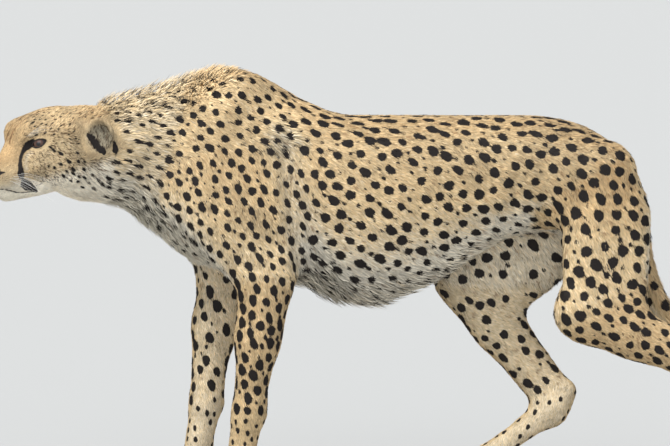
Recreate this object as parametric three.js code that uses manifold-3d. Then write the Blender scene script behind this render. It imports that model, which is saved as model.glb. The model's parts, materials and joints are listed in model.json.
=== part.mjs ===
// An adult cheetah, life size, in a slow stalking step: head low and turned a little to its left,
// shoulder blades high, one hind leg drawn up under the belly and the other stretched behind.
//
// Millimetres, +Z up. The head points to -X and the animal's left side to -Y.
// The coat is part of the shape: every surface here is where the tips of the hair end.
//
// The body is one smooth field, negative inside, made of sections, rods and balls that melt into
// each other. Each named piece is the skin of that field inside its own region, and neighbours
// are parted by thin flat cuts.

import * as THREE from "three";
import { SimplifyModifier } from "three/addons/modifiers/SimplifyModifier.js";
import { mergeVertices } from "three/addons/utils/BufferGeometryUtils.js";
import Module from "manifold-3d";

const wasm = await Module();
wasm.setup();

// ---------------------------------------------------------------- driving dimensions

const GAP = 0.3; // between two pieces that meet
const LEFT = -1; // the side factor of the left limbs, which lie towards -Y
const RIGHT = 1;
const REACH = 2400; // side of the boxes that stand for half of space

// Head: its own axes run back from the tip of the nose, to the left, and up.
const NOSE_TIP = new THREE.Vector3(-571, -106, 528);
const HEAD_TURN = THREE.MathUtils.degToRad(27); // to the left
const HEAD_TILT = THREE.MathUtils.degToRad(14); // nose down
const HEAD_LENGTH = 214; // nose to the cut behind the skull
const EYE_RADIUS = 16;
const EYE_AT = { back: 90, side: 32.5, up: 35.4 };
const EYE_TURN = 40; // degrees from straight ahead to where the eye looks
const EYE_SOCKET = { out: 22, radius: 13 }; // the opening between the lids
const NOSE_MIDDLE_AT = { back: 9, up: 1 };
const NOSE_ROOM = 1.07; // scale of the hollow that the nose sits in
const EAR_AT = { back: 189, side: 58, up: 23 };
const EAR_TURN = 42; // degrees, of the cup's mouth to the side
const EAR_LEAN = 12; // degrees, outwards at the top
const EAR_ROOT = 44; // from the middle of the head to the cut at the foot of the ear
const EAR_SPAN = { back: [-38, 27], up: [-34, 40] }; // the cuts round the ear, from its middle
const MOUTH_DROP = 30; // from the tip of the nose to the line of the mouth
const MOUTH_CORNER = 88; // how far back the mouth runs

// Neck and trunk: sections across X. "top" and "low" are heights, "half" is half the width,
// "wide" the height of the widest level, "mid" how far the section lies to one side.
const SECTIONS = [
  { x: -425, top: 636, low: 500, half: 52, wide: 570, mid: -26 }, // back of the skull
  { x: -390, top: 641, low: 482, half: 57, wide: 566, mid: -20 }, // nape
  { x: -345, top: 654, low: 470, half: 63, wide: 562, mid: -12 },
  { x: -300, top: 665, low: 430, half: 70, wide: 555, mid: -5 }, // base of the neck
  { x: -250, top: 679, low: 390, half: 80, wide: 540, mid: 0 },
  { x: -200, top: 693, low: 368, half: 90, wide: 525, mid: 0 }, // point of the shoulder
  { x: -150, top: 694, low: 354, half: 98, wide: 510, mid: 0 },
  { x: -100, top: 678, low: 348, half: 104, wide: 500, mid: 0 }, // behind the elbow
  { x: -50, top: 648, low: 342, half: 108, wide: 495, mid: 0 },
  { x: 10, top: 626, low: 317, half: 110, wide: 490, mid: 0 }, // deepest part of the chest
  { x: 70, top: 623, low: 308, half: 107, wide: 490, mid: 0 },
  { x: 120, top: 623, low: 328, half: 100, wide: 497, mid: 0 }, // last rib
  { x: 175, top: 623, low: 352, half: 90, wide: 510, mid: 0 },
  { x: 240, top: 625, low: 396, half: 80, wide: 525, mid: 0 }, // waist
  { x: 310, top: 625, low: 425, half: 78, wide: 535, mid: 0 },
  { x: 380, top: 617, low: 430, half: 82, wide: 530, mid: 0 }, // hips
  { x: 430, top: 600, low: 420, half: 76, wide: 515, mid: 0 },
  { x: 462, top: 576, low: 415, half: 60, wide: 500, mid: 0 },
  { x: 488, top: 540, low: 430, half: 38, wide: 485, mid: 0 }, // seat
];

// Joints of the limbs. Y is the distance from the middle of the body, on the limb's own side.
const FORELEGS = {
  left: {
    side: LEFT,
    blade: [-152, 40, 664], // top of the shoulder blade
    shoulder: [-246, 70, 500],
    elbow: [-114, 86, 356],
    forearm: [-126, 82, 262],
    wrist: [-142, 76, 136],
    knuckle: [-158, 73, 38],
  },
  right: {
    side: RIGHT,
    blade: [-186, 40, 652],
    shoulder: [-262, 70, 495],
    elbow: [-180, 86, 362],
    forearm: [-198, 82, 270],
    wrist: [-214, 76, 142],
    knuckle: [-230, 73, 38],
  },
};
const HIND_LEGS = {
  left: {
    side: LEFT,
    hip: [440, 52, 528],
    knee: [412, 78, 288],
    hock: [636, 80, 196],
    heel: [662, 80, 224],
    ball: [616, 76, 42],
    hipCut: 14, // how far the cut at the top of the thigh lies above the hip joint
  },
  right: {
    side: RIGHT,
    hip: [396, 52, 524],
    knee: [214, 84, 334],
    hock: [366, 78, 128],
    heel: [392, 78, 158],
    ball: [246, 76, 40],
    hipCut: 46,
  },
};
const ELBOW_CUT = 352; // heights of the level cuts through the legs
const PAW_CUT = 56;
const TOE_SPREAD = 17; // from one toe to the next
const CLAW_LENGTH = 15;
const CLAW_HOOK = 5; // how far the tip of a claw bends down
const FORE_PAW = 50; // from the knuckle to the end of the toes
const HIND_PAW = 52;

// Tail: the points it passes through, from the root, and its radius at a share of its length.
const TAIL_PATH = new THREE.CatmullRomCurve3(
  [
    [436, 556], [474, 532], [497, 486], [504, 431], [513, 372], [541, 305],
    [592, 225], [652, 160], [735, 132], [815, 152], [872, 200],
  ].map(([x, z]) => new THREE.Vector3(x, 0, z)),
);
const TAIL_RADIUS = [28, 25, 23, 22, 21, 20, 19, 18.5, 18, 18, 17];
const TAIL_CUTS = [0.13, 0.42, 0.71]; // shares of its length where it is parted
const TAIL_FREE = 8; // between the hanging tail and the seat
const TAIL_FRONT = 470; // X of the flat behind which only the tail lies, below its root
const TAIL_FREE_FROM = 530; // height under which the tail hangs free

// How far parts of the body melt into each other.
const MELT = { skull: 12, head: 30, trunk: 26, foreleg: 16, hindLeg: 18, toes: 4, tail: 16, ear: 6 };

// The mesh of each part: the box it is sought in, its cells, and the share of its points kept.
const MESHES = {
  head: { low: [-600, -190, 395], high: [-290, 80, 690], cell: [8, 8, 8], share: 0.12 },
  neck: { low: [-480, -140, 360], high: [-180, 130, 740], cell: [14, 13, 14], share: 0.28 },
  trunk: { low: [-360, -165, 270], high: [560, 165, 750], cell: [18, 15, 16], share: 0.24 },
  nose: { low: [-26, -26, -26], high: [26, 26, 26], cell: [4.5, 4.5, 4.5], share: 0.6 },
  ear: { margin: 56, cell: [4.5, 4.5, 4.5], share: 0.12 },
  shoulder: { margin: 130, cell: [17, 12, 17], share: 0.2 },
  forearm: { margin: 80, cell: [12, 11, 15], share: 0.2 },
  pastern: { margin: 50, cell: [9, 9, 12], share: 0.2 },
  forepaw: { margin: 50, cell: [6, 5.5, 6], share: 0.13 },
  thigh: { margin: 150, cell: [17, 13, 17], share: 0.2 },
  shank: { margin: 90, cell: [13, 11, 13], share: 0.2 },
  hock: { margin: 50, cell: [10, 9, 12], share: 0.2 },
  hindpaw: { margin: 50, cell: [6, 5.5, 6], share: 0.13 },
  tail: { margin: 50, cell: [10, 9, 10], share: 0.25 },
};

// ---------------------------------------------------------------- fields

/** The smaller of two values, rounded where they come within reach of each other. */
function melt(a, b, reach) {
  const near = Math.max(reach - Math.abs(a - b), 0) / reach;
  return Math.min(a, b) - (near * near * reach) / 4;
}

/** Several fields melted into one. */
function together(reach, ...fields) {
  return (x, y, z) => fields.reduce((least, field) => melt(least, field(x, y, z), reach), 1e3);
}

/** A rod with a radius at each end. A flat one is narrower across the animal. */
function rod(from, fromRadius, to, toRadius, flat = 1) {
  const [ax, ay, az] = from;
  const [bx, by, bz] = [to[0] - ax, to[1] - ay, to[2] - az];
  const lengthSquared = bx * bx + by * by + bz * bz;
  return (x, y, z) => {
    const along = ((x - ax) * bx + (y - ay) * by + (z - az) * bz) / lengthSquared;
    const share = THREE.MathUtils.clamp(along, 0, 1);
    const across = (y - ay - share * by) / flat;
    const away = Math.hypot(x - ax - share * bx, across, z - az - share * bz);
    return (away - fromRadius - share * (toRadius - fromRadius)) * Math.min(flat, 1);
  };
}

/** A ball with three radii, whose long axis may be pitched in the plane of X and Z (degrees). */
function ball(centre, radii, pitch = 0) {
  const [cx, cy, cz] = centre;
  const cos = Math.cos(THREE.MathUtils.degToRad(pitch));
  const sin = Math.sin(THREE.MathUtils.degToRad(pitch));
  return (x, y, z) => {
    const forward = (x - cx) * cos + (z - cz) * sin;
    const up = (z - cz) * cos - (x - cx) * sin;
    const ratio = Math.hypot(forward / radii[0], (y - cy) / radii[1], up / radii[2]);
    return Math.hypot(forward, y - cy, up) * (1 - 1 / Math.max(ratio, 1e-3));
  };
}

/** A value between the rows of a table, on a smooth curve through them. */
function between(rows, key, x) {
  let i = 0;
  while (i < rows.length - 2 && x > rows[i + 1].x) i += 1;
  const slope = (from, to) => (rows[to][key] - rows[from][key]) / (rows[to].x - rows[from].x);
  const span = rows[i + 1].x - rows[i].x;
  const share = THREE.MathUtils.clamp((x - rows[i].x) / span, 0, 1);
  const start = slope(Math.max(i - 1, 0), i + 1) * span;
  const end = slope(i, Math.min(i + 2, rows.length - 1)) * span;
  const rest = 1 - share;
  return rest * rest * (1 + 2 * share) * rows[i][key] + share * share * (3 - 2 * share) * rows[i + 1][key]
    + rest * rest * share * start - share * share * rest * end;
}

/** A body with an egg-shaped section at each X, from a table like SECTIONS. */
function sectioned(rows) {
  const first = rows[0].x;
  const last = rows[rows.length - 1].x;
  return (x, y, z) => {
    const at = THREE.MathUtils.clamp(x, first, last);
    const wide = between(rows, "wide", at);
    const edge = between(rows, z > wide ? "top" : "low", at);
    const across = y - between(rows, "mid", at);
    const ratio = Math.hypot(across / between(rows, "half", at), (z - wide) / (edge - wide));
    const radial = Math.hypot(across, z - wide) * (1 - 1 / Math.max(ratio, 1e-3));
    return x === at ? radial : Math.max(radial, 0) + Math.abs(x - at);
  };
}

// ---------------------------------------------------------------- head

const headAxes = {
  back: new THREE.Vector3(
    Math.cos(HEAD_TURN) * Math.cos(HEAD_TILT),
    Math.sin(HEAD_TURN) * Math.cos(HEAD_TILT),
    Math.sin(HEAD_TILT),
  ),
  side: new THREE.Vector3(Math.sin(HEAD_TURN), -Math.cos(HEAD_TURN), 0),
};
headAxes.up = new THREE.Vector3().crossVectors(headAxes.side, headAxes.back);

/** A place on the head, in the model's axes. */
function onHead(back, side, up) {
  return NOSE_TIP.clone()
    .addScaledVector(headAxes.back, back)
    .addScaledVector(headAxes.side, side)
    .addScaledVector(headAxes.up, up);
}

/** A field given in the head's axes, as one in the model's. */
function inHeadAxes(field) {
  const point = new THREE.Vector3();
  return (x, y, z) => {
    point.set(x, y, z).sub(NOSE_TIP);
    return field(point.dot(headAxes.back), point.dot(headAxes.side), point.dot(headAxes.up));
  };
}

/** The same field on both sides of the head. */
const bothSides = (field) => (back, side, up) => field(back, Math.abs(side), up);

/** A rounded cup that opens to the front and the side, on one side of the head. */
function earField(side) {
  const turn = THREE.MathUtils.degToRad(EAR_TURN);
  const lean = THREE.MathUtils.degToRad(EAR_LEAN);
  const outer = ball([0, 0, 0], [17, 25, 31]);
  const hollow = ball([-15, 2, 3], [20, 19, 26]);
  return inHeadAxes((back, across, up) => {
    const [b, s, u] = [back - EAR_AT.back, side * across - EAR_AT.side, up - EAR_AT.up];
    const out = s * Math.cos(lean) - u * Math.sin(lean);
    const rise = u * Math.cos(lean) + s * Math.sin(lean);
    const depth = b * Math.cos(turn) - out * Math.sin(turn);
    const width = out * Math.cos(turn) + b * Math.sin(turn);
    return Math.max(outer(depth, width, rise), -hollow(depth, width, rise));
  });
}

const headField = inHeadAxes(together(
  MELT.skull,
  rod([28, 0, -8], 23, [88, 0, 6], 48), // muzzle
  rod([15, 0, 3], 12, [72, 0, 44], 21), // bridge of the nose
  bothSides(ball([24, 16, -15], [23, 19, 18])), // whisker pads
  rod([23, 0, -36], 16, [96, 0, -30], 28), // lower jaw
  bothSides(ball([79, 25, 55], [26, 20, 21], 20)), // brow
  bothSides(ball([92, 38, 0], [34, 20, 22], 10)), // cheekbone
  ball([128, 0, 30], [78, 58, 53], -6), // skull
  bothSides(ball([128, 40, -10], [48, 27, 42], -20)), // cheek
  ball([162, 0, -32], [56, 52, 52], -20), // throat
));

// ---------------------------------------------------------------- limbs

/** A limb's joints on its own side of the body. */
function placed(joints) {
  const points = {};
  for (const [name, value] of Object.entries(joints)) {
    points[name] = Array.isArray(value) ? [value[0], value[1] * joints.side, value[2]] : value;
  }
  return points;
}

/** A point moved by so much along X, Y and Z. */
const moved = ([x, y, z], dx, dy, dz) => [x + dx, y + dy, z + dz];

/** Four toes and the pads under them, ahead of the joint that they grow from. */
function paw(joint, side, length) {
  const parts = [
    rod(moved(joint, 2, 0, -4), 25, moved(joint, -16, 0, -14), 24),
    ball([joint[0] + 2, joint[1], 10], [24, 24, 16]), // sole pad
  ];
  for (const toe of toePlaces(joint, side, length)) {
    parts.push(rod([joint[0] - 14, (toe[1] * 2 + joint[1]) / 3, 24], 12, toe, 10));
  }
  return together(MELT.toes, ...parts);
}

/** The tips of a paw's four toes, from the inner one to the outer one. */
function toePlaces(joint, side, length) {
  return [-1.5, -0.5, 0.5, 1.5].map((step) => [
    joint[0] - length + Math.abs(step) * 7 + step * 2,
    joint[1] + side * step * TOE_SPREAD,
    9.4,
  ]);
}

function foreleg(joints) {
  const { side, blade, shoulder, elbow, forearm, wrist, knuckle } = placed(joints);
  return together(
    MELT.foreleg,
    ball([(blade[0] + shoulder[0]) / 2 + 12, shoulder[1] * 0.88, 598], [112, 30, 62], 62), // blade
    ball(blade, [62, 24, 37], -14), // top of the blade
    rod(shoulder, 54, elbow, 44, 0.62), // upper arm
    rod(moved(shoulder, 70, 0, 10), 48, moved(elbow, 4, 0, 10), 36, 0.62), // back of the arm
    rod(moved(elbow, 30, 0, 10), 20, forearm, 30, 0.8), // point of the elbow
    rod(elbow, 43, forearm, 38, 0.82),
    rod(forearm, 38, wrist, 26, 0.9),
    rod(wrist, 27, knuckle, 23, 0.92),
    rod(moved(wrist, 22, 0, -14), 8, moved(wrist, 18, 0, 8), 10), // pad behind the wrist
    paw(knuckle, side, FORE_PAW),
  );
}

function hindLeg(joints) {
  const { side, hip, knee, hock, heel, ball: base } = placed(joints);
  const seat = [hip[0] + 30, hip[1] * 1.05, hip[2] - 70];
  const calf = [knee[0] * 0.6 + hock[0] * 0.4, knee[1], knee[2] * 0.6 + hock[2] * 0.4 + 6];
  return together(
    MELT.hindLeg,
    ball(hip, [66, 38, 56], 30), // rump
    rod(moved(hip, -4, 0, -10), 54, moved(knee, 12, 0, 16), 50, 0.66), // thigh
    rod(seat, 60, moved(calf, -14, 0, 30), 34, 0.6), // back of the thigh
    rod(moved(knee, -4, 0, 8), 44, calf, 36, 0.72),
    rod(calf, 36, hock, 23, 0.8),
    rod(moved(calf, 20, 0, 12), 22, heel, 13, 0.8), // tendon
    rod(heel, 13, moved(hock, 0, 0, -8), 20),
    rod(hock, 23, base, 20, 0.9),
    paw(base, side, HIND_PAW),
  );
}

// ---------------------------------------------------------------- tail

/** The hanging tail, a chain of rods along its path. */
const tailField = (() => {
  const steps = TAIL_RADIUS.length * 3;
  const radiusAt = (share) => {
    const place = share * (TAIL_RADIUS.length - 1);
    const i = Math.min(Math.floor(place), TAIL_RADIUS.length - 2);
    return THREE.MathUtils.lerp(TAIL_RADIUS[i], TAIL_RADIUS[i + 1], place - i);
  };
  const rods = [];
  for (let i = 0; i < steps; i += 1) {
    const from = TAIL_PATH.getPointAt(i / steps).toArray();
    const to = TAIL_PATH.getPointAt((i + 1) / steps).toArray();
    rods.push(rod(from, radiusAt(i / steps), to, radiusAt((i + 1) / steps)));
  }
  return (x, y, z) => rods.reduce((least, one) => Math.min(least, one(x, y, z)), 1e3);
})();

// ---------------------------------------------------------------- the whole body

const legFields = [...Object.values(FORELEGS).map(foreleg), ...Object.values(HIND_LEGS).map(hindLeg)];
const trunkField = together(MELT.trunk, sectioned(SECTIONS), ...legFields);

/** Everything but the ears, the eyes, the nose and the claws. */
function bodyField(x, y, z) {
  const tail = tailField(x, y, z);
  const free = TAIL_FREE * THREE.MathUtils.smoothstep(TAIL_FREE_FROM - z, 0, 50);
  const rest = melt(trunkField(x, y, z), headField(x, y, z), MELT.head);
  const parted = Math.max(rest, free - tail);
  return free > 0 ? Math.min(parted, tail) : melt(parted, tail, MELT.tail);
}

// ---------------------------------------------------------------- solids

/** A solid from the places of its corners and the corners of its faces. */
function solidFrom(positions, faces) {
  return new wasm.Manifold(new wasm.Mesh({
    numProp: 3,
    vertProperties: new Float32Array(positions),
    triVerts: new Uint32Array(faces),
  }));
}

/** A closed geometry as a solid for joins and cuts. */
function solidOf(geometry) {
  const bare = geometry.clone();
  bare.deleteAttribute("normal");
  bare.deleteAttribute("uv");
  const merged = mergeVertices(bare, 1e-4);
  return solidFrom(merged.attributes.position.array, merged.index.array);
}

/** A solid as a geometry, ready to be a mesh. */
function geometryOf(solid) {
  const { vertProperties, triVerts } = solid.getMesh();
  const geometry = new THREE.BufferGeometry();
  geometry.setAttribute("position", new THREE.BufferAttribute(vertProperties, 3));
  geometry.setIndex(new THREE.BufferAttribute(triVerts, 1));
  geometry.computeVertexNormals();
  return geometry;
}

const CUBE = [0, 1, 2, 3, 4, 5, 6, 7].map((n) => [n & 1, (n >> 1) & 1, n >> 2]); // corners of a cell
const CUBE_EDGES = [];
for (const a of CUBE.keys()) {
  for (const step of [1, 2, 4]) if (!(a & step)) CUBE_EDGES.push([a, a | step]);
}

/** For each choice of a cell's corners: whether the chosen ones hang together along its edges. */
const JOINED = Array.from({ length: 256 }, (_, chosen) => {
  let reached = chosen & -chosen;
  for (let round = 0; round < 8; round += 1) {
    for (const [a, b] of CUBE_EDGES) {
      const pair = (1 << a) | (1 << b);
      if ((chosen & pair) === pair && reached & pair) reached |= pair;
    }
  }
  return reached === chosen;
});

/** Field values at the corners of a grid of cells. The outermost corners count as outside. */
class Grid {
  constructor(field, low, high, cell) {
    this.low = low;
    this.cell = cell;
    this.count = [0, 1, 2].map((axis) => Math.ceil((high[axis] - low[axis]) / cell[axis]) + 1);
    this.values = new Float64Array(this.count[0] * this.count[1] * this.count[2]).fill(1);
    this.each(1, (...at) => {
      this.values[this.index(...at)] = field(...this.place(...at)) || 1e-6;
    });
    this.openNarrowSpots();
  }

  index(i, j, k) {
    return (i * this.count[1] + j) * this.count[2] + k;
  }

  place(i, j, k) {
    return [i, j, k].map((n, axis) => this.low[axis] + n * this.cell[axis]);
  }

  /** Calls a function with each place in the grid, from a first place on, but for the last ones. */
  each(first, visit) {
    for (let i = first; i < this.count[0] - 1; i += 1) {
      for (let j = first; j < this.count[1] - 1; j += 1) {
        for (let k = first; k < this.count[2] - 1; k += 1) visit(i, j, k);
      }
    }
  }

  cornersOf(i, j, k) {
    return CUBE.map(([a, b, c]) => this.index(i + a, j + b, k + c));
  }

  isRim(index) {
    const k = index % this.count[2];
    const j = Math.floor(index / this.count[2]) % this.count[1];
    const i = Math.floor(index / this.count[2] / this.count[1]);
    return [i, j, k].some((n, axis) => n === 0 || n === this.count[axis] - 1);
  }

  /** Fills gaps narrower than a cell, so that the surface never touches itself. */
  openNarrowSpots() {
    let changed = true;
    while (changed) {
      changed = false;
      this.each(0, (...at) => {
        const corners = this.cornersOf(...at);
        const inside = corners.reduce((mask, n, bit) => mask | (this.values[n] < 0 ? 1 << bit : 0), 0);
        if (JOINED[inside] && JOINED[255 - inside]) return;
        const open = corners.filter((n) => this.values[n] > 0 && !this.isRim(n));
        if (open.length === 0) return;
        open.sort((a, b) => this.values[a] - this.values[b]);
        this.values[open[0]] = -0.05;
        changed = true;
      });
    }
  }
}

/**
 * The surface where a field is zero, as a solid. One point lies in each cell that the surface
 * crosses, and a face joins the four cells round each crossed edge. Then the flatter parts are
 * thinned out until the given share of the points is left.
 */
async function skin(field, { low, high, cell, share }) {
  const grid = new Grid(field, low, high, cell);
  const { values } = grid;
  const pointOf = new Map();
  const positions = [];
  grid.each(0, (...at) => {
    const here = grid.cornersOf(...at).map((n) => values[n]);
    const sum = [0, 0, 0];
    let crossed = 0;
    for (const [a, b] of CUBE_EDGES) {
      if (here[a] < 0 === here[b] < 0) continue;
      const part = here[a] / (here[a] - here[b]);
      for (const axis of [0, 1, 2]) sum[axis] += CUBE[a][axis] + part * (CUBE[b][axis] - CUBE[a][axis]);
      crossed += 1;
    }
    if (crossed === 0) return;
    pointOf.set(grid.index(...at), positions.length / 3);
    positions.push(...grid.place(...at.map((n, axis) => n + sum[axis] / crossed)));
  });
  const faces = [];
  grid.each(0, (...at) => {
    const inside = values[grid.index(...at)] < 0;
    for (const axis of [0, 1, 2]) {
      const next = at.map((n, other) => n + (other === axis ? 1 : 0));
      if (inside === values[grid.index(...next)] < 0) continue;
      const [u, v] = [(axis + 1) % 3, (axis + 2) % 3];
      const ring = [[0, 0], [1, 0], [1, 1], [0, 1]].map(([du, dv]) => {
        const beside = [...at];
        beside[u] -= du;
        beside[v] -= dv;
        return pointOf.get(grid.index(...beside));
      });
      if (!inside) ring.reverse();
      faces.push(ring[0], ring[1], ring[2], ring[0], ring[2], ring[3]);
    }
  });
  const fine = new THREE.BufferGeometry();
  fine.setAttribute("position", new THREE.Float32BufferAttribute(positions, 3));
  fine.setIndex(faces);
  const spare = Math.floor((positions.length / 3) * (1 - share));
  const thin = await new SimplifyModifier().modify(fine, spare);
  return solidFrom(thin.attributes.position.array, thin.index.array);
}

/** All that lies on the side of a plane that its normal points away from. */
function behind({ point, normal }, grow) {
  const box = new THREE.BoxGeometry(REACH, REACH, REACH);
  const out = normal.clone().normalize();
  box.applyQuaternion(new THREE.Quaternion().setFromUnitVectors(new THREE.Vector3(0, 0, 1), out));
  const centre = point.clone().addScaledVector(out, grow - REACH / 2);
  box.translate(centre.x, centre.y, centre.z);
  return solidOf(box);
}

/** The space behind all of some planes, grown outwards by so much. */
const region = (planes, grow) => planes.map((plane) => behind(plane, grow)).reduce((a, b) => a.intersect(b));

const plane = (point, normal) => ({
  point: new THREE.Vector3(...point),
  normal: new THREE.Vector3(...normal),
});
const turnedRound = ({ point, normal }) => ({ point, normal: normal.clone().negate() });

// ---------------------------------------------------------------- cuts

const headCut = {
  point: onHead(HEAD_LENGTH, 0, 50),
  normal: new THREE.Vector3(headAxes.back.x, headAxes.back.y, 0),
};
const neckCut = plane([-250, 0, 672], [0.97, 0, -0.25]);
const jawCut = {
  point: onHead(0, 0, -MOUTH_DROP),
  normal: headAxes.up.clone().addScaledVector(headAxes.back, 0.08),
};
const jawBack = { point: onHead(MOUTH_CORNER, 0, 0), normal: headAxes.back.clone() };
const earRegion = (side) => [
  { point: onHead(0, side * EAR_ROOT, 0), normal: headAxes.side.clone().multiplyScalar(-side) },
  { point: onHead(EAR_AT.back + EAR_SPAN.back[0], 0, 0), normal: headAxes.back.clone().negate() },
  { point: onHead(EAR_AT.back + EAR_SPAN.back[1], 0, 0), normal: headAxes.back },
  { point: onHead(0, 0, EAR_AT.up + EAR_SPAN.up[0]), normal: headAxes.up.clone().negate() },
  { point: onHead(0, 0, EAR_AT.up + EAR_SPAN.up[1]), normal: headAxes.up },
];
const tailCuts = TAIL_CUTS.map((share) => ({
  point: TAIL_PATH.getPointAt(share),
  normal: TAIL_PATH.getTangentAt(share),
}));
const floorCut = plane([0, 0, 0], [0, 0, -1]);

/** The planes round each part of a foreleg. */
function forelegRegions({ side, elbow, wrist }) {
  const inner = plane([0, side * 66, ELBOW_CUT], [0, -side, 0.14]);
  const innerLeg = plane([0, side * 38, 0], [0, -side, 0]);
  const elbowCut = plane([0, 0, ELBOW_CUT], [0, 0, 1]);
  const wristCut = plane([0, 0, wrist[2]], [0, 0, 1]);
  const pawCut = plane([0, 0, PAW_CUT], [0, 0, 1]);
  const front = plane([elbow[0] - 150, 0, 0], [-1, 0, 0]);
  const back = plane([elbow[0] + 78, 0, ELBOW_CUT], [1, 0, 0]);
  return {
    shoulder: [inner, turnedRound(elbowCut), turnedRound(neckCut), back],
    forearm: [innerLeg, elbowCut, turnedRound(wristCut), front, back],
    pastern: [innerLeg, wristCut, turnedRound(pawCut), front, back],
    forepaw: [innerLeg, pawCut, floorCut, front, back],
  };
}

/** The planes round each part of a hind leg. */
function hindLegRegions({ side, hip, knee, hock, ball: base, hipCut }) {
  const vector = (from, to) => new THREE.Vector3(to[0] - from[0], 0, to[2] - from[2]).normalize();
  const shank = vector(knee, hock);
  const fold = vector(knee, hip).add(shank);
  const across = new THREE.Vector3(0, 1, 0);
  const inner = plane([0, side * 26, 0], [0, -side, 0]);
  const hipPlane = plane([hip[0], 0, hip[2] + hipCut], [-0.63, 0, 0.776]);
  const kneePlane = { point: new THREE.Vector3(...knee), normal: fold.clone().cross(across) };
  const hockPlane = { point: new THREE.Vector3(...hock).addScaledVector(shank, -30), normal: shank };
  const pawCut = plane([0, 0, PAW_CUT], [0, 0, 1]);
  const front = plane([knee[0] - 70, 0, 0], [-1, 0, 0]);
  const toeEnd = plane([base[0] - 90, 0, 0], [-1, 0, 0]);
  if (kneePlane.normal.z < 0) kneePlane.normal.negate();
  return {
    thigh: [inner, hipPlane, turnedRound(kneePlane), front],
    shank: [inner, kneePlane, hockPlane, turnedRound(pawCut), front],
    hock: [inner, kneePlane, turnedRound(hockPlane), turnedRound(pawCut)],
    hindpaw: [inner, pawCut, floorCut, toeEnd],
  };
}

// ---------------------------------------------------------------- meshes

const cheetah = new THREE.Group();
const COLOURS = {
  coat: 0xd9ae78,
  pale: 0xe2d3b8,
  black: 0x1b1714,
  eye: 0xb8772e,
  claw: 0x6b5a48,
};
const ROUGHNESS = { coat: 0.9, pale: 0.9, black: 0.45, eye: 0.1, claw: 0.5 };

/** The largest of a solid's bodies, without the slivers that a cut may leave beside it. */
const largest = (solid) => solid.decompose().reduce((a, b) => (b.volume() > a.volume() ? b : a));

function addPiece(name, solid, look) {
  const material = new THREE.MeshStandardMaterial({
    color: COLOURS[look],
    roughness: ROUGHNESS[look],
    metalness: 0,
  });
  const mesh = new THREE.Mesh(geometryOf(largest(solid)), material);
  mesh.name = name;
  cheetah.add(mesh);
}

/** The part of the body inside a region. */
async function flesh(mesh, planes) {
  return (await skin(bodyField, mesh)).intersect(region(planes, -GAP / 2));
}

/** A mesh sought round some points, as far out as its margin. */
function meshRound(points, mesh) {
  const box = new THREE.Box3().setFromPoints(points.map((point) => new THREE.Vector3(...point)));
  box.expandByScalar(mesh.margin);
  return { ...mesh, low: box.min.toArray(), high: box.max.toArray() };
}

// Eyes, nose and claws, each grown a little where a neighbour makes room for it.

const NOSE_MIDDLE = onHead(NOSE_MIDDLE_AT.back, 0, NOSE_MIDDLE_AT.up).toArray();

/** A sphere on the head, so far out of the middle of the eye as the eye looks. */
function eyeSphere(side, out, radius) {
  const turn = THREE.MathUtils.degToRad(EYE_TURN);
  const back = EYE_AT.back - out * Math.cos(turn);
  const centre = onHead(back, side * (EYE_AT.side + out * Math.sin(turn)), EYE_AT.up + out * 0.1);
  return solidOf(new THREE.SphereGeometry(radius, 12, 8).translate(centre.x, centre.y, centre.z));
}

/** The black end of the nose, with the bar between the nostrils, about its own middle. */
function nosePad() {
  const field = inHeadAxes(together(
    5,
    bothSides(ball([9, 7, 4], [9, 9, 8])),
    ball([10, 0, -5], [9, 5, 10]),
  ));
  const centred = (x, y, z) => field(x + NOSE_MIDDLE[0], y + NOSE_MIDDLE[1], z + NOSE_MIDDLE[2]);
  return skin(centred, MESHES.nose);
}

/** A short hooked claw, from the end of a toe. */
function claw([x, y, z], grow = 0) {
  const geometry = new THREE.ConeGeometry(3.2 + grow, CLAW_LENGTH + 2 * grow, 5, 2);
  const position = geometry.attributes.position;
  for (let i = 0; i < position.count; i += 1) {
    const along = position.getY(i) / CLAW_LENGTH + 0.5;
    position.setZ(i, position.getZ(i) - CLAW_HOOK * along * along);
  }
  geometry.rotateZ(Math.PI / 2);
  geometry.translate(x - 13, y, z + 3.5);
  return solidOf(geometry);
}

// Head
const nose = await nosePad();
const skull = await flesh(MESHES.head, [headCut]);
let headPieces = skull.subtract(nose.scale(NOSE_ROOM).translate(NOSE_MIDDLE));
for (const side of [1, -1]) {
  headPieces = headPieces
    .subtract(eyeSphere(side, 0, EYE_RADIUS + GAP))
    .subtract(eyeSphere(side, EYE_SOCKET.out, EYE_SOCKET.radius))
    .subtract(region(earRegion(side), GAP / 2));
}
addPiece("head", headPieces.subtract(region([jawCut, jawBack], GAP / 2)), "coat");
addPiece("lower_jaw", headPieces.intersect(region([jawCut, jawBack], -GAP / 2)), "pale");
addPiece("nose", nose.translate(NOSE_MIDDLE), "black");
for (const [name, side] of [["left", 1], ["right", -1]]) {
  addPiece(`eye_${name}`, eyeSphere(side, 0, EYE_RADIUS), "eye");
  const middle = onHead(EAR_AT.back, side * EAR_AT.side, EAR_AT.up).toArray();
  const cup = earField(side);
  const withEar = (x, y, z) => melt(bodyField(x, y, z), cup(x, y, z), MELT.ear);
  const solid = await skin(withEar, meshRound([middle], MESHES.ear));
  addPiece(`ear_${name}`, solid.intersect(region(earRegion(side), -GAP / 2)), "coat");
}

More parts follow.
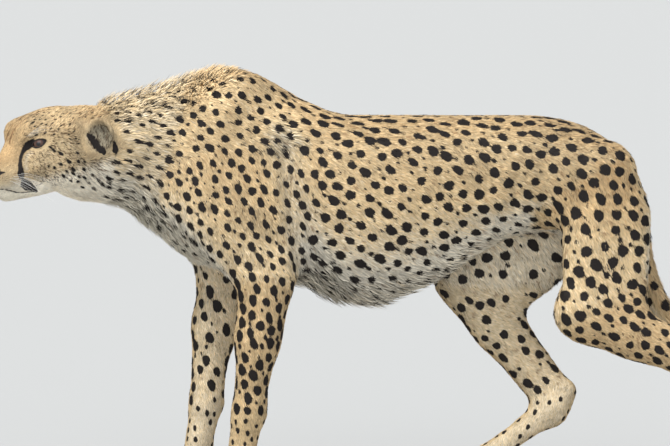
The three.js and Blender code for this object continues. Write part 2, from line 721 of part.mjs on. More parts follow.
// Neck and trunk
const neckPlanes = [turnedRound(headCut), neckCut];
let neck = await flesh(MESHES.neck, neckPlanes);
for (const side of [1, -1]) neck = neck.subtract(region(earRegion(side), GAP / 2));
addPiece("neck", neck, "coat");
const limbs = [];
for (const [name, joints] of Object.entries(FORELEGS)) {
  limbs.push({ name, joints, regions: forelegRegions(joints) });
}
for (const [name, joints] of Object.entries(HIND_LEGS)) {
  limbs.push({ name, joints, regions: hindLegRegions(joints) });
}
const tailSpace = [turnedRound(tailCuts[0]), plane([TAIL_FRONT, 0, 0], [-1, 0, 0])];
let trunk = await flesh(MESHES.trunk, [turnedRound(neckCut)]);
trunk = trunk.subtract(region(tailSpace, GAP / 2));
for (const { regions } of limbs) {
  for (const planes of Object.values(regions)) trunk = trunk.subtract(region(planes, GAP / 2));
}
addPiece("trunk", trunk, "coat");

// Legs
for (const { name, joints, regions } of limbs) {
  const points = placed(joints);
  const base = points.knuckle ?? points.ball;
  const toes = toePlaces(base, joints.side, points.knuckle ? FORE_PAW : HIND_PAW);
  const spans = {
    shoulder: [points.blade, points.shoulder, points.elbow],
    forearm: [points.elbow, points.wrist],
    pastern: [points.wrist, points.knuckle],
    forepaw: [base, ...toes],
    thigh: [points.hip, points.knee],
    shank: [points.knee, points.hock],
    hock: [points.hock, points.heel, points.ball],
    hindpaw: [base, ...toes],
  };
  for (const [part, planes] of Object.entries(regions)) {
    let solid = await flesh(meshRound(spans[part], MESHES[part]), planes);
    if (part.endsWith("paw")) {
      toes.forEach((toe, i) => {
        solid = solid.subtract(claw(toe, GAP));
        addPiece(`claw_${part.replace("paw", "")}_${name}_${i + 1}`, claw(toe), "claw");
      });
    }
    addPiece(`${part}_${name}`, solid, "coat");
  }
}

// Tail
for (const [i, name] of ["tail_base", "tail_middle", "tail_end"].entries()) {
  const path = [0, 0.25, 0.5, 0.75, 1].map((share) => {
    return TAIL_PATH.getPointAt(THREE.MathUtils.lerp(TAIL_CUTS[i], TAIL_CUTS[i + 1] ?? 1, share)).toArray();
  });
  const planes = [turnedRound(tailCuts[i]), ...tailCuts.slice(i + 1, i + 2)];
  const solid = await skin(tailField, meshRound(path, MESHES.tail));
  addPiece(name, solid.intersect(region(planes, -GAP / 2)), "coat");
}

// The origin is on the floor, under the middle of the whole animal.
const bounds = new THREE.Box3().setFromObject(cheetah);
const middle = bounds.getCenter(new THREE.Vector3());
cheetah.position.set(-middle.x, -middle.y, -bounds.min.z);

export default cheetah;
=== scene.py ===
# %% [markdown]
# # A stalking cheetah
# A cheetah is one smooth body under short hair, so most of this lesson is about two things: a
# single skin with no seams, and many thousands of tiny tufts that lie along it. The frame is
# loaded first. Its nodes are parted by thin cuts, and they say where each part of the body is.

# %% Load the frame
import json
import math

import bpy
import numpy as np
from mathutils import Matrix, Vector, kdtree, noise

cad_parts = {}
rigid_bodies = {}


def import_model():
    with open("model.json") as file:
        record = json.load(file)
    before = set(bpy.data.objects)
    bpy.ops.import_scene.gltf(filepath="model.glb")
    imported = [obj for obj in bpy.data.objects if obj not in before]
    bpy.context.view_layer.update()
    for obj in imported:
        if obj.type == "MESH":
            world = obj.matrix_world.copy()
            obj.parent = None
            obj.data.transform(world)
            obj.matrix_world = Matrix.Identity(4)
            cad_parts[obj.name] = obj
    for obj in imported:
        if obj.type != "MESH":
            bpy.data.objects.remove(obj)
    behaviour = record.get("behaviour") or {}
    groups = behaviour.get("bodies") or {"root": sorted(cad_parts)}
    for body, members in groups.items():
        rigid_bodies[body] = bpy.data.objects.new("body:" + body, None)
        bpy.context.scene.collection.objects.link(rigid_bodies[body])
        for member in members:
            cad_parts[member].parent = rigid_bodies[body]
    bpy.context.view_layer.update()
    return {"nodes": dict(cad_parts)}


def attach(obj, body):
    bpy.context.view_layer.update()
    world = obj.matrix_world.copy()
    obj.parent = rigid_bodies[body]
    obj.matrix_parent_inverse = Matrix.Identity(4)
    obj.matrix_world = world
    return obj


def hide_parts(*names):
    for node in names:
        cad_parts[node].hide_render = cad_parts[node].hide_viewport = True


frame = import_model()
MM = 0.001
LEFT, RIGHT = 1, -1

# %% [markdown]
# The floor is one wide pale sheet, so that there is plain ground on every side. A Sun lamp lights
# everything evenly, and a large angle softens its shadows, as thin haze does. A weaker one from
# the front and a pale sky fill them. The camera stands far off with a long lens, as one does with
# a wild animal, so near and far legs keep nearly the same scale.

# %% Floor, light and camera
CAMERA_AIM = Vector((-0.1537, 0.0025, 0.443))
CAMERA_DISTANCE = 22.0
CAMERA_ANGLE = math.radians(4)  # above level
FRAME_WIDTH = 670 * 1.6635 * MM  # what the frame spans at the animal's middle
SENSOR = 36.0


def deselect():
    """Leaves nothing selected, so that an operator acts only on what comes next."""
    for other in bpy.context.view_layer.objects.selected:
        other.select_set(False)


def make_active(obj):
    deselect()
    obj.select_set(True)
    bpy.context.view_layer.objects.active = obj


def named(name):
    """The object that an operator has just made, under a name."""
    bpy.context.object.name = name
    return bpy.context.object


def new_material(name, values):
    """A material, its tree and its shader, with constant values on the shader's sockets."""
    material = bpy.data.materials.new(name)
    material.use_nodes = True
    shader = material.node_tree.nodes["Principled BSDF"]
    for key, value in values.items():
        shader.inputs[key].default_value = value
    return material, material.node_tree, shader


def soft_sun(name, place, angle, strength, colour):
    """A Sun lamp that shines from a place toward the origin, blurred over some degrees."""
    bpy.ops.object.light_add(type="SUN", location=place)
    lamp = named(name)
    lamp.data.angle = math.radians(angle)
    lamp.data.energy = strength
    lamp.data.color = colour
    lamp.rotation_euler = Vector(place).to_track_quat("Z", "Y").to_euler()


deselect()
bpy.ops.mesh.primitive_plane_add(size=240, location=(0, 0, 0))
floor = named("floor")
floor_values = {"Base Color": (0.44, 0.44, 0.43, 1), "Roughness": 0.9}
floor.data.materials.append(new_material("pale_floor", floor_values)[0])
soft_sun("high_sun", (-1.6, -2.3, 4.1), 14, 3.1, (1.0, 0.97, 0.92))
soft_sun("front_fill", (-0.4, -4.5, 0.5), 60, 1.4, (0.97, 0.98, 1.0))
world = bpy.data.worlds.new("pale_sky")
world.use_nodes = True
world.node_tree.nodes["Background"].inputs["Color"].default_value = (0.86, 0.92, 1.0, 1)
world.node_tree.nodes["Background"].inputs["Strength"].default_value = 0.86
bpy.context.scene.world = world
bpy.context.scene.view_settings.view_transform = "Standard"

bpy.ops.object.camera_add()
camera = named("camera")
away = Vector((0, -math.cos(CAMERA_ANGLE), math.sin(CAMERA_ANGLE)))
camera.location = CAMERA_AIM + away * CAMERA_DISTANCE
camera.rotation_euler = (-away).to_track_quat("-Z", "Y").to_euler()
camera.data.sensor_width = SENSOR
camera.data.lens = SENSOR * CAMERA_DISTANCE / FRAME_WIDTH
camera.data.clip_end = 400
bpy.context.scene.camera = camera
print("camera:", round(camera.data.lens), "mm lens at", [round(c, 3) for c in camera.location])

# %% [markdown]
# The skin starts as copies of all the nodes of flesh, and of the eyeballs, which fill their
# sockets. Remeshing the lot in small voxels closes the thin cuts and melts the copies into one
# closed surface, as clay pressed over a wire frame would be.

# %% One skin from the nodes
FLESH = [name for name in frame["nodes"] if not name.startswith(("eye", "nose", "claw"))]
EYEBALLS = ["eye_left", "eye_right"]
FINE_VOXEL = 3.4 * MM
MERGE_WITHIN = 0.01 * MM


def copy_of(node, name):
    """A loose copy of a node's mesh, with its doubled points merged."""
    copy = bpy.data.objects.new(name, frame["nodes"][node].data.copy())
    bpy.context.scene.collection.objects.link(copy)
    make_active(copy)
    bpy.ops.object.mode_set(mode="EDIT")
    bpy.ops.mesh.select_all(action="SELECT")
    bpy.ops.mesh.remove_doubles(threshold=MERGE_WITHIN)
    bpy.ops.object.mode_set(mode="OBJECT")
    copy.data.materials.clear()
    return copy


def joined(objects, name):
    make_active(objects[0])
    for obj in objects[1:]:
        obj.select_set(True)
    bpy.ops.object.join()
    bpy.context.object.data.name = name
    return named(name)


def apply_modifier(obj, kind, **settings):
    """Adds a modifier with its settings and applies it."""
    make_active(obj)
    modifier = obj.modifiers.new(kind.title(), kind)
    for key, value in settings.items():
        setattr(modifier, key, value)
    bpy.ops.object.modifier_apply(modifier=modifier.name)


def read(mesh_items, key, width, kind=np.float32):
    """One value, or a few, of every item of a mesh as an array."""
    values = np.empty(len(mesh_items) * width, kind)
    mesh_items.foreach_get(key, values)
    return values.reshape(-1, width) if width > 1 else values


def points_of(obj):
    return read(obj.data.vertices, "co", 3).astype(np.float64)


def normals_of(obj):
    return read(obj.data.vertex_normals, "vector", 3).astype(np.float64)


def move_points(obj, points):
    obj.data.vertices.foreach_set("co", points.astype(np.float32).ravel())
    obj.data.update()


skin = joined([copy_of(name, name + "_copy") for name in FLESH + EYEBALLS], "skin")
apply_modifier(skin, "REMESH", mode="VOXEL", voxel_size=FINE_VOXEL)
print("skin:", len(skin.data.polygons), "faces")

# %% [markdown]
# Much of what follows depends on where a point lies: the hair's length, lie and colour all change
# from the cheek to the paw. Each point of the skin gets the name of the nearest node, from a
# search tree over points strewn on the nodes.

# %% Regions of the skin
rng = np.random.default_rng(11)
STREWN_PER_NODE = 1500


def strewn(obj, count):
    """Random places on a mesh, even over its area."""
    obj.data.calc_loop_triangles()
    corners = points_of(obj)[read(obj.data.loop_triangles, "vertices", 3, np.int32)]
    first, second = corners[:, 1] - corners[:, 0], corners[:, 2] - corners[:, 0]
    area = np.linalg.norm(np.cross(first, second), axis=1)
    face = rng.choice(len(area), count, p=area / area.sum())
    a, b = np.sqrt(rng.random(count)), rng.random(count)
    share = np.stack([1 - a, a * (1 - b), a * b], axis=1)
    return (corners[face] * share[:, :, None]).sum(axis=1)


def tree_of(points):
    tree = kdtree.KDTree(len(points))
    for i, point in enumerate(points):
        tree.insert(point, i)
    tree.balance()
    return tree


part_points = [strewn(frame["nodes"][name], STREWN_PER_NODE) for name in FLESH]
part_tree = tree_of(np.concatenate(part_points))


def part_index(points):
    """For each point, which node of flesh is nearest."""
    return np.array([part_tree.find(point)[1] for point in points]) // STREWN_PER_NODE


def is_part(index, *starts):
    """Where a part's name starts with one of some words."""
    return np.array([name.startswith(starts) for name in FLESH])[index]


print("regions:", len(FLESH), "nodes,", len(FLESH) * STREWN_PER_NODE, "points strewn on them")

# %% [markdown]
# The body can do with larger faces than the head and the feet, so it is thinned out. Flat places
# would then keep triangles that are too large to carry a spot; those are split again.

# %% Thin out the body
FINE_PARTS = ("head", "lower_jaw", "ear", "forepaw", "hindpaw")
BODY_SHARE = 0.34  # of the body's faces that are kept
LARGE_FACE = 16 * MM ** 2  # larger triangles couldn't carry a spot


def face_middles():
    return read(skin.data.polygons, "center", 3)


def edit_faces(chosen, operator, **settings):
    """Runs an operator on the chosen faces of the skin, and leaves only triangles."""
    make_active(skin)
    for items in (skin.data.vertices, skin.data.edges):
        items.foreach_set("select", np.zeros(len(items), bool))
    skin.data.polygons.foreach_set("select", chosen)
    bpy.context.tool_settings.mesh_select_mode = (False, False, True)
    bpy.ops.object.mode_set(mode="EDIT")
    operator(**settings)
    bpy.ops.mesh.select_all(action="SELECT")
    bpy.ops.mesh.quads_convert_to_tris()
    bpy.ops.object.mode_set(mode="OBJECT")


def subdivide_where(chosen):
    """Splits the chosen triangles in four."""
    edit_faces(chosen, bpy.ops.mesh.subdivide, number_cuts=1)


coarse = ~is_part(part_index(face_middles()), *FINE_PARTS)
edit_faces(coarse, bpy.ops.mesh.decimate, ratio=BODY_SHARE)
print("skin:", len(skin.data.polygons), "triangles after the body is thinned out")
for _ in range(2):
    subdivide_where(read(skin.data.polygons, "area", 1) > LARGE_FACE)
print("skin:", len(skin.data.polygons), "triangles once the large ones are split")

# %% [markdown]
# The facets of the thinned body are taken out with a Smooth modifier. A vertex group says where
# it may work hard: all over the body, but only a little on the head, the ears and the paws,
# whose small forms it would melt away.

# %% Smooth the skin
SMOOTH_WEIGHTS = {"head": 0.35, "lower_jaw": 0.3, "ear": 0.2, "forepaw": 0.3, "hindpaw": 0.3}
SMOOTH_ROUNDS = 22


def spread(values, times):
    """Each point's value mixed with its neighbours' along the edges, so many times."""
    ends = read(skin.data.edges, "vertices", 2, np.int32)
    count = np.bincount(ends.ravel(), minlength=len(values)).astype(float)
    flat = values.reshape(len(values), -1).astype(float)
    for _ in range(times):
        total = np.empty_like(flat)
        for column in range(flat.shape[1]):
            there = np.bincount(ends[:, 0], flat[ends[:, 1], column], len(flat))
            back = np.bincount(ends[:, 1], flat[ends[:, 0], column], len(flat))
            total[:, column] = there + back
        flat = 0.5 * flat + 0.5 * total / count[:, None]
    return flat.reshape(values.shape)


part = part_index(points_of(skin))
weights = np.ones(len(part))
for start, weight in SMOOTH_WEIGHTS.items():
    weights[is_part(part, start)] = weight
levels = np.round(spread(weights, 6) * 10)
group = skin.vertex_groups.new(name="soft")
for level in range(1, 11):
    group.add(np.nonzero(levels == level)[0].tolist(), level / 10, "REPLACE")
apply_modifier(skin, "SMOOTH", factor=0.5, iterations=SMOOTH_ROUNDS, vertex_group=group.name)
skin.vertex_groups.clear()
print("skin: smoothed,", len(points_of(skin)), "points")

# %% [markdown]
# The head has axes of its own: back from the tip of the nose, out to the animal's left, and up.
# It is turned a little to the left and tilted nose down, so these axes lie askew in the room.
# Everything on the face is placed along them, in millimetres, and its left and right sides use
# the same numbers with the sideways distance made positive.

# %% The head's axes
NOSE_TIP = np.array((-726.7, -103.5, 527.9))
HEAD_TURN, HEAD_TILT = math.radians(27), math.radians(14)
HEAD_BACK = np.array((math.cos(HEAD_TURN) * math.cos(HEAD_TILT),
                      math.sin(HEAD_TURN) * math.cos(HEAD_TILT), math.sin(HEAD_TILT)))
HEAD_SIDE = np.array((math.sin(HEAD_TURN), -math.cos(HEAD_TURN), 0.0))
HEAD_UP = np.cross(HEAD_SIDE, HEAD_BACK)
HEAD_AXES = np.stack([HEAD_BACK, HEAD_SIDE, HEAD_UP])
EYE_RADIUS = 16.0
EYE_PLACE = np.array((90.0, 32.5, 35.4))
FACE_BACK = 78.0  # how far back the finer faces reach


def to_head(points):
    """Places in the room, in metres, as back, side and up in millimetres."""
    return (points / MM - NOSE_TIP) @ HEAD_AXES.T


def from_head(places):
    return (np.asarray(places, float) @ HEAD_AXES + NOSE_TIP) * MM


def folded(points):
    """Places in the room as places on the head, with both of its sides laid over each other."""
    places = to_head(points)
    return places * (1, 0, 1) + np.abs(places) * (0, 1, 0)


def smoothstep(low, high, value):
    share = np.clip((value - low) / (high - low), 0, 1)
    return share * share * (3 - 2 * share)


def along_line(points, line, widths=None):
    """Distance from each point to a line of straight pieces, less the line's own half width."""
    line = np.asarray(line, float)
    widths = np.zeros(len(line)) if widths is None else np.asarray(widths, float)
    least = np.full(len(points), 1e3)
    for start, end, from_width, to_width in zip(line, line[1:], widths, widths[1:]):
        run = end - start
        share = np.clip((points - start) @ run / (run @ run), 0, 1)
        away = np.linalg.norm(points - start - share[:, None] * run, axis=1)
        least = np.minimum(least, away - from_width - share * (to_width - from_width))
    return least


# The face needs smaller faces than the rest of the head, or lids and lips would be jagged.
middles = folded(face_middles())
near_eye = np.linalg.norm(middles - EYE_PLACE, axis=1)
subdivide_where((middles[:, 0] < FACE_BACK) | (near_eye < 30))
subdivide_where(np.linalg.norm(folded(face_middles()) - EYE_PLACE, axis=1) < 24)
print("skin:", len(skin.data.polygons), "triangles with the finer face")

# %% [markdown]
# How the coat is on each part of the body is kept in one table. Later cells look up its columns
# by the name of the part, and soften the steps between the parts.

# %% The coat, part by part
COLUMNS = ("length", "width", "pale", "grey", "gap", "radius", "stretch")
COAT = {  # the hair's length, a tuft's width, how pale and grey; the spots' gap, radius, stretch
    "head": (5.0, 0.95, 0.36, 0.05, 8.2, 2.0, 1.5),
    "lower_jaw": (4.5, 1.1, 0.92, 0.12, 0, 0, 0),
    "ear": (3.4, 0.9, 0.30, 0.2, 0, 0, 0),
    "neck": (13, 1.7, 0.60, 0.06, 16.0, 4.7, 1.5),
    "trunk": (10.5, 2.0, 0.40, 0.02, 22.8, 8.6, 1.08),
    "shoulder": (9, 1.8, 0.32, 0, 18.6, 6.8, 1.18),
    "forearm": (8, 1.4, 0.34, 0, 19.0, 8.2, 1.18),
    "pastern": (6, 1.1, 0.40, 0, 13.0, 4.2, 1.2),
    "forepaw": (4.5, 1.0, 0.5, 0, 9.5, 2.3, 1.2),
    "thigh": (10, 2.0, 0.18, 0, 23.6, 9.4, 1.08),
    "shank": (8, 1.5, 0.30, 0, 19.5, 7.8, 1.15),
    "hock": (6, 1.2, 0.38, 0, 13.5, 4.4, 1.2),
    "hindpaw": (4.5, 1.0, 0.5, 0, 9.5, 2.3, 1.2),
    "tail_base": (12, 1.9, 0.26, 0, 24.0, 8.8, 1.1),
    "tail_middle": (13, 1.9, 0.26, 0, 24.0, 8.8, 1.1),
    "tail_end": (15, 1.9, 0.26, 0, 24.0, 8.8, 1.1),
}
print("table:", len(COAT), "parts,", len(COLUMNS), "columns")

# %% [markdown]
# The nodes reach out to the tips of the hair, so the skin has to lie deeper by the coat's
# thickness: a millimetre on the nose, more on the flank, and more again where the mane and the
# belly hair are long. A second kind of table adds to the first one: an amount, the parts it is
# for, and the ramps along which it grows.

# %% Length of the hair, and the skin under it
ALL, SKULL, BODY = ("",), ("head", "lower_jaw"), ("trunk", "neck", "shoulder")
FORELEG, HINDLEG = ("forearm", "pastern", "forepaw"), ("thigh", "shank", "hock", "hindpaw")
STRIP_LINE = [(-243, 585), (-218, 490), (-200, 405), (-178, 345)]
STRIP = ("strip", 46, 10)  # long white hair behind the shoulder, by the distance to its line
LONGER_HAIR = [
    (5, SKULL, ("back", 110, 170)), (5, SKULL, ("back", 120, 160), ("height", -20, -50)),
    (-2, SKULL, ("back", 70, 30)), (9, ("trunk",), STRIP),
    (10, BODY, ("upward", 0.35, 0.85), ("x", -600, -540), ("x", -290, -370)),
    (20, BODY, ("upward", -0.45, -0.85), ("x", -330, -230), ("x", 130, 20)),
    (8, BODY, ("upward", -0.1, -0.6), ("x", -330, -420)),
]
HAIR_LIFT = 0.13  # the height of a tuft's tip over its root, as a share of its length


def by_part(index, column):
    """A value of the coat's table for each point, by the start of its part's name."""
    values = np.zeros(len(index))
    for start, row in COAT.items():
        values[is_part(index, start)] = row[COLUMNS.index(column)]
    return values


def landmarks(points, normals):
    """What the ramps go by: places in millimetres, and which way the skin faces."""
    back, out, height = folded(points).T
    inward = -np.sign(points[:, 1]) * normals[:, 1]
    return {"x": points[:, 0] / MM, "z": points[:, 2] / MM, "back": back, "out": out,
            "height": height, "strip": along_line(points[:, (0, 2)] / MM, STRIP_LINE),
            "upward": normals[:, 2], "rearward": normals[:, 0], "inward": inward}


def summed(rows, index, known):
    """Adds up a table's rows: each is an amount, its parts, and its ramps."""
    total = np.zeros(len(index))
    for amount, starts, *ramps in rows:
        share = amount * is_part(index, *starts)
        for key, low, high in ramps:
            share = share * smoothstep(low, high, known[key])
        total += share
    return total


part, known = part_index(points_of(skin)), landmarks(points_of(skin), normals_of(skin))
length = spread(by_part(part, "length") + summed(LONGER_HAIR, part, known), 10)
depth = np.clip(length * HAIR_LIFT, 0.6, 5.0) * MM
move_points(skin, points_of(skin) - normals_of(skin) * depth[:, None])
print("hair: %.0f to %.0f mm long" % (length.min(), length.max()))

# %% [markdown]
# The open eye is an almond: two arcs between its inner and its outer corner, seen from where the
# eye faces. Places near it are measured along it, across it and out of it.

# %% The open eye
EYE_OUT = np.array((-0.67, 0.72, 0.17))  # where the open eye faces
EYE_OUT /= np.linalg.norm(EYE_OUT)
EYE_RISE = np.array((0.0, 0.0, 1.0)) - EYE_OUT[2] * EYE_OUT
EYE_RISE /= np.linalg.norm(EYE_RISE)
EYE_ALONG = np.cross(EYE_OUT, EYE_RISE)
EYE_ALONG *= np.sign(EYE_ALONG[0])
INNER_CORNER, OUTER_CORNER = np.array((-11.0, -3.2)), np.array((13.0, 1.6))
UPPER_LID, LOWER_LID = 4.7, 6.2  # heights of the lids' arcs
LID_RUN = OUTER_CORNER - INNER_CORNER
LID_SPAN = np.linalg.norm(LID_RUN)
LID_OVER = np.array((-LID_RUN[1], LID_RUN[0])) / LID_SPAN
LID_THICK, SUNK = 0.9, 2.0  # over the ball at the lid's edge, and under it in the opening
LID_REACH = 38  # how far from the ball's middle the skin is moved


def lid_arc(share):
    """How high the almond is, from corner to corner, as a share of its height."""
    return (4 * share * (1 - share)) ** 0.75


def almond(across):
    """The open eye's signed distance, positive inside, for places seen from in front of it."""
    offset = across - INNER_CORNER
    along = offset @ (LID_RUN / LID_SPAN) / LID_SPAN
    arc, height = lid_arc(np.clip(along, 0, 1)), offset @ LID_OVER
    inside = np.where(height > 0, UPPER_LID * arc - height, LOWER_LID * arc + height)
    return np.minimum(inside, (0.5 - np.abs(along - 0.5)) * LID_SPAN)


def eye_coordinates(head):
    """For places on the folded head: along and across the open eye, and out of it."""
    offset = head - EYE_PLACE
    return np.stack([offset @ EYE_ALONG, offset @ EYE_RISE], axis=1), offset @ EYE_OUT, offset


def skin_on_head():
    """The skin's points on the folded head, with the side that each belongs to."""
    return folded(points_of(skin)), np.sign(to_head(points_of(skin))[:, 1])


def move_on_head(head, side_of):
    """Puts the skin's points at places on the folded head, each on its own side."""
    move_points(skin, from_head(np.stack([head[:, 0], head[:, 1] * side_of, head[:, 2]], axis=1)))


print("eye: %.0f mm from corner to corner" % LID_SPAN)

# %% [markdown]
# A lid is skin that lies on the eyeball. Points of the skin that are over the almond of the open
# eye sink behind the eyeball's surface, and those round it are held just outside it, so the edge
# of the opening is where the skin passes through the ball.

# %% Lids
across, out, _ = eye_coordinates(folded(face_middles()))
at_edge = np.abs(almond(across) + 0.5) < 2.5
subdivide_where(at_edge & (out > 6) & (np.linalg.norm(across, axis=1) < 18))
head, side_of = skin_on_head()
across, out, offset = eye_coordinates(head)
reach, opening = np.linalg.norm(offset, axis=1), almond(across)
held = EYE_RADIUS + LID_THICK * (1 + smoothstep(-0.6, -4, opening))
closeness = smoothstep(-13, -3, opening) * smoothstep(3, 9, out) * smoothstep(LID_REACH, 28, reach)
raised = np.maximum(reach, held) * (1 - closeness) + held * closeness
target = np.where(opening > 0.2, EYE_RADIUS - SUNK, raised)
lid = (reach < LID_REACH) & (out > 3) & (np.linalg.norm(across, axis=1) < 30)
scale = np.where(lid, target / np.maximum(reach, 1e-6), 1.0)
move_on_head(EYE_PLACE + offset * scale[:, None], side_of)
points, softened = points_of(skin), 0.8 * smoothstep(-1.4, -4, opening) * smoothstep(42, 32, reach)
for _ in range(14):
    points += softened[:, None] * (spread(points, 1) - points)
move_points(skin, points)
print("lids:", int(lid.sum()), "points of skin laid over the eyeballs")

# %% [markdown]
# The mouth is a thin crease between the lips, and loose skin lies in folds where a leg joins
# the body: behind the shoulder, in front of the thigh and at the elbow. Each fold is a line that
# the skin sinks along, with a soft swelling beside it.

# %% Mouth and folds of skin
MOUTH = [(1, 4, -21), (5, 12, -22.5), (12, 19, -24.5), (22, 22, -30), (34, 24, -36), (46, 25, -40),
         (60, 26, -42.5), (72, 27, -43.5)]
LIP_DEPTH, LIP_WIDTH = 2.6, 2.0
BODY_FOLDS = [  # line in X and Z, how deep, how wide, and the swelling in front of it
    ([(-232, 612), (-238, 560), (-232, 500), (-222, 440), (-214, 372)], 3.2, 9, 2.6),
    ([(146, 520), (142, 480), (140, 440), (150, 410)], 3.0, 10, 2.0),
    ([(-296, 640), (-322, 590), (-340, 530), (-352, 470)], 1.8, 12, 1.5),
    ([(190, 560), (196, 500), (182, 440)], 1.6, 14, 1.5),
    ([(-404, 640), (-418, 590), (-428, 540), (-440, 480)], 1.5, 11, 1.2),
    ([(250, 545), (262, 480), (252, 410), (236, 350)], 1.5, 13, 1.5),
]
NOSE_WIDTH = 15  # a line's points nearer to the head's middle than this stay where they are


def laid_on_skin(line):
    """A line of the head with each point moved sideways onto the skin."""
    head = folded(points_of(skin))
    laid = []
    for back, side, up, *rest in line:
        near = np.hypot(head[:, 0] - back, head[:, 2] - up) < 2.0
        if side > NOSE_WIDTH and near.sum() > 3:
            side = np.sort(head[near, 1])[-3:].mean()
        laid.append((back, side, up, *rest))
    return laid


def hollow(away, width):
    """One on a line, falling to nothing over a width on both sides of it."""
    return np.exp(-(away / width) ** 2)


MOUTH = laid_on_skin(MOUTH)
points, normals = points_of(skin), normals_of(skin)
sink = LIP_DEPTH * hollow(along_line(folded(points), MOUTH), LIP_WIDTH)
sink *= is_part(part_index(points), *SKULL)
flat = points[:, (0, 2)] / MM
outside = smoothstep(0.1, 0.6, np.abs(normals[:, 1]))
for line, fold_depth, fold_width, swelling in BODY_FOLDS:
    line = np.array(line, float)
    away = along_line(flat, line)
    middle_x = np.interp(-flat[:, 1], -line[:, 1], line[:, 0])
    in_front = smoothstep(4, -4, flat[:, 0] - middle_x)
    sink += outside * fold_depth * hollow(away, fold_width)
    sink -= outside * swelling * in_front * hollow(away - 2 * fold_width, 1.6 * fold_width)
move_points(skin, points - normals * (sink * MM)[:, None])
print("folds:", len(BODY_FOLDS), "on each side, deepest %.1f mm" % sink.max())

# %% [markdown]
# A paw has four toes, and the CAD's paw is one block with four claws. The claws say where the toes
# are: a groove runs back over the paw from between each two of them. The chin is rounded in the
# same cell, by moving its sides outward.

# %% Toes and chin
FEET = ["fore_left", "fore_right", "hind_left", "hind_right"]
TOE_DEPTH, TOE_WIDTH = 3.8, 3.0
GROOVE_BEND, GROOVE_END, GROOVE_LEAN = 24, 44, 0.35  # its length, and how far it nears the middle
CHIN, CHIN_RADII, CHIN_SWELLING = np.array((15.0, 6.0, -37.0)), np.array((28.0, 24.0, 17.0)), 6.0


def toe_grooves():
    """Seen from above, the lines between neighbouring toes of every foot, in millimetres."""
    lines = []
    for foot in FEET:
        nodes = [frame["nodes"]["claw_%s_%d" % (foot, i)] for i in range(1, 5)]
        tips = [points_of(node).mean(axis=0)[:2] / MM for node in nodes]
        middle = np.mean(tips, axis=0)[1]
        for one, other in zip(tips, tips[1:]):
            x, y = 0.5 * (one + other)
            end = (1 - GROOVE_LEAN) * y + GROOVE_LEAN * middle
            lines.append([(x, y), (x + GROOVE_BEND, y), (x + GROOVE_END, end)])
    return lines


def groove_share(points):
    """One along the grooves between the toes, falling to nothing beside them."""
    away = np.min([along_line(points[:, :2] / MM, line) for line in toe_grooves()], axis=0)
    return hollow(away, TOE_WIDTH) * smoothstep(48, 34, points[:, 2] / MM)


subdivide_where(groove_share(face_middles()) > 0.05)
points, normals = points_of(skin), normals_of(skin)
sink = TOE_DEPTH * groove_share(points) * smoothstep(-0.7, -0.2, normals[:, 2])
move_points(skin, points - normals * (sink * MM)[:, None])
head, side_of = skin_on_head()
share = 1 - smoothstep(0, 1, np.linalg.norm((head - CHIN) / CHIN_RADII, axis=1))
head[:, 1] += CHIN_SWELLING * share * np.minimum(head[:, 1] / 5, 1)
move_on_head(head, side_of)
print("toes:", len(toe_grooves()), "grooves; skin:", len(skin.data.polygons), "triangles")

# %% [markdown]
# An eye is a smooth ball with a clear bulge over the iris. A UV sphere has rings round its pole,
# which is turned to face where the animal looks, so the pupil and the iris are true circles. Each
# point keeps its distance from the middle of the pupil, and the material paints by it.

# %% Eyes
GAZE = {"left": (-0.17, -0.975, -0.13), "right": (-0.93, -0.35, -0.10)}
IRIS_REACH, PUPIL_REACH, CORNEA = 9.0, 3.4, 1.0  # all in millimetres


def store(obj, name, values):
    """Keeps one number for each point of a mesh as a named attribute."""
    attribute = obj.data.attributes.new(name, "FLOAT", "POINT")
    attribute.data.foreach_set("value", np.asarray(values, np.float32))


def smooth_shaded(obj):
    obj.data.polygons.foreach_set("use_smooth", np.ones(len(obj.data.polygons), bool))
    obj.data.update()


def eyeball(side, sign):
    deselect()
    bpy.ops.mesh.primitive_uv_sphere_add(segments=64, ring_count=48, radius=EYE_RADIUS * MM)
    ball = named("eyeball_" + side)
    points = points_of(ball) / MM
    across = np.where(points[:, 2] > 0, np.hypot(points[:, 0], points[:, 1]), EYE_RADIUS)
    bulge = CORNEA * smoothstep(IRIS_REACH + 1.5, 0, across)
    points *= (1 + bulge / EYE_RADIUS)[:, None]
    turn = np.array(Vector((0, 0, 1)).rotation_difference(Vector(GAZE[side])).to_matrix())
    move_points(ball, points @ turn.T * MM + from_head(EYE_PLACE * (1, sign, 1)))
    ball.location = (0, 0, 0)
    store(ball, "from_pupil", across)
    smooth_shaded(ball)
    return ball


eyes = [eyeball("left", LEFT), eyeball("right", RIGHT)]
print("eyes:", [ball.name for ball in eyes])

# %% [markdown]
# The lids end in a bare black rim that lies on the ball. Each rim is a torus whose round of
# sections is led along the almond of the open eye, thicker at the inner corner, where the tear
# stripe begins.

# %% Rims of the lids
RIM_SECTIONS, RIM_SIDES = 72, 8
RIM_THICK, RIM_CORNER = 0.95, 1.5  # half thickness in millimetres, along the lids and in the corner
RIM_FLATNESS, RIM_LIFT, RIM_OUTWARD = 0.8, 0.1, 0.5
TORUS = 0.25  # the section of the torus before it is led along the lids


def unit(vectors):
    return vectors / np.maximum(np.linalg.norm(vectors, axis=1), 1e-9)[:, None]


def on_eyeball(across, height, sign):
    """The place on the ball, in the room, for a place seen from in front of the open eye."""
    reach = EYE_RADIUS + height
    out = np.sqrt(np.maximum(reach ** 2 - (across ** 2).sum(axis=1), 1))
    offset = across @ np.stack([EYE_ALONG, EYE_RISE]) + out[:, None] * EYE_OUT
    return from_head((EYE_PLACE + offset) * (1, sign, 1))


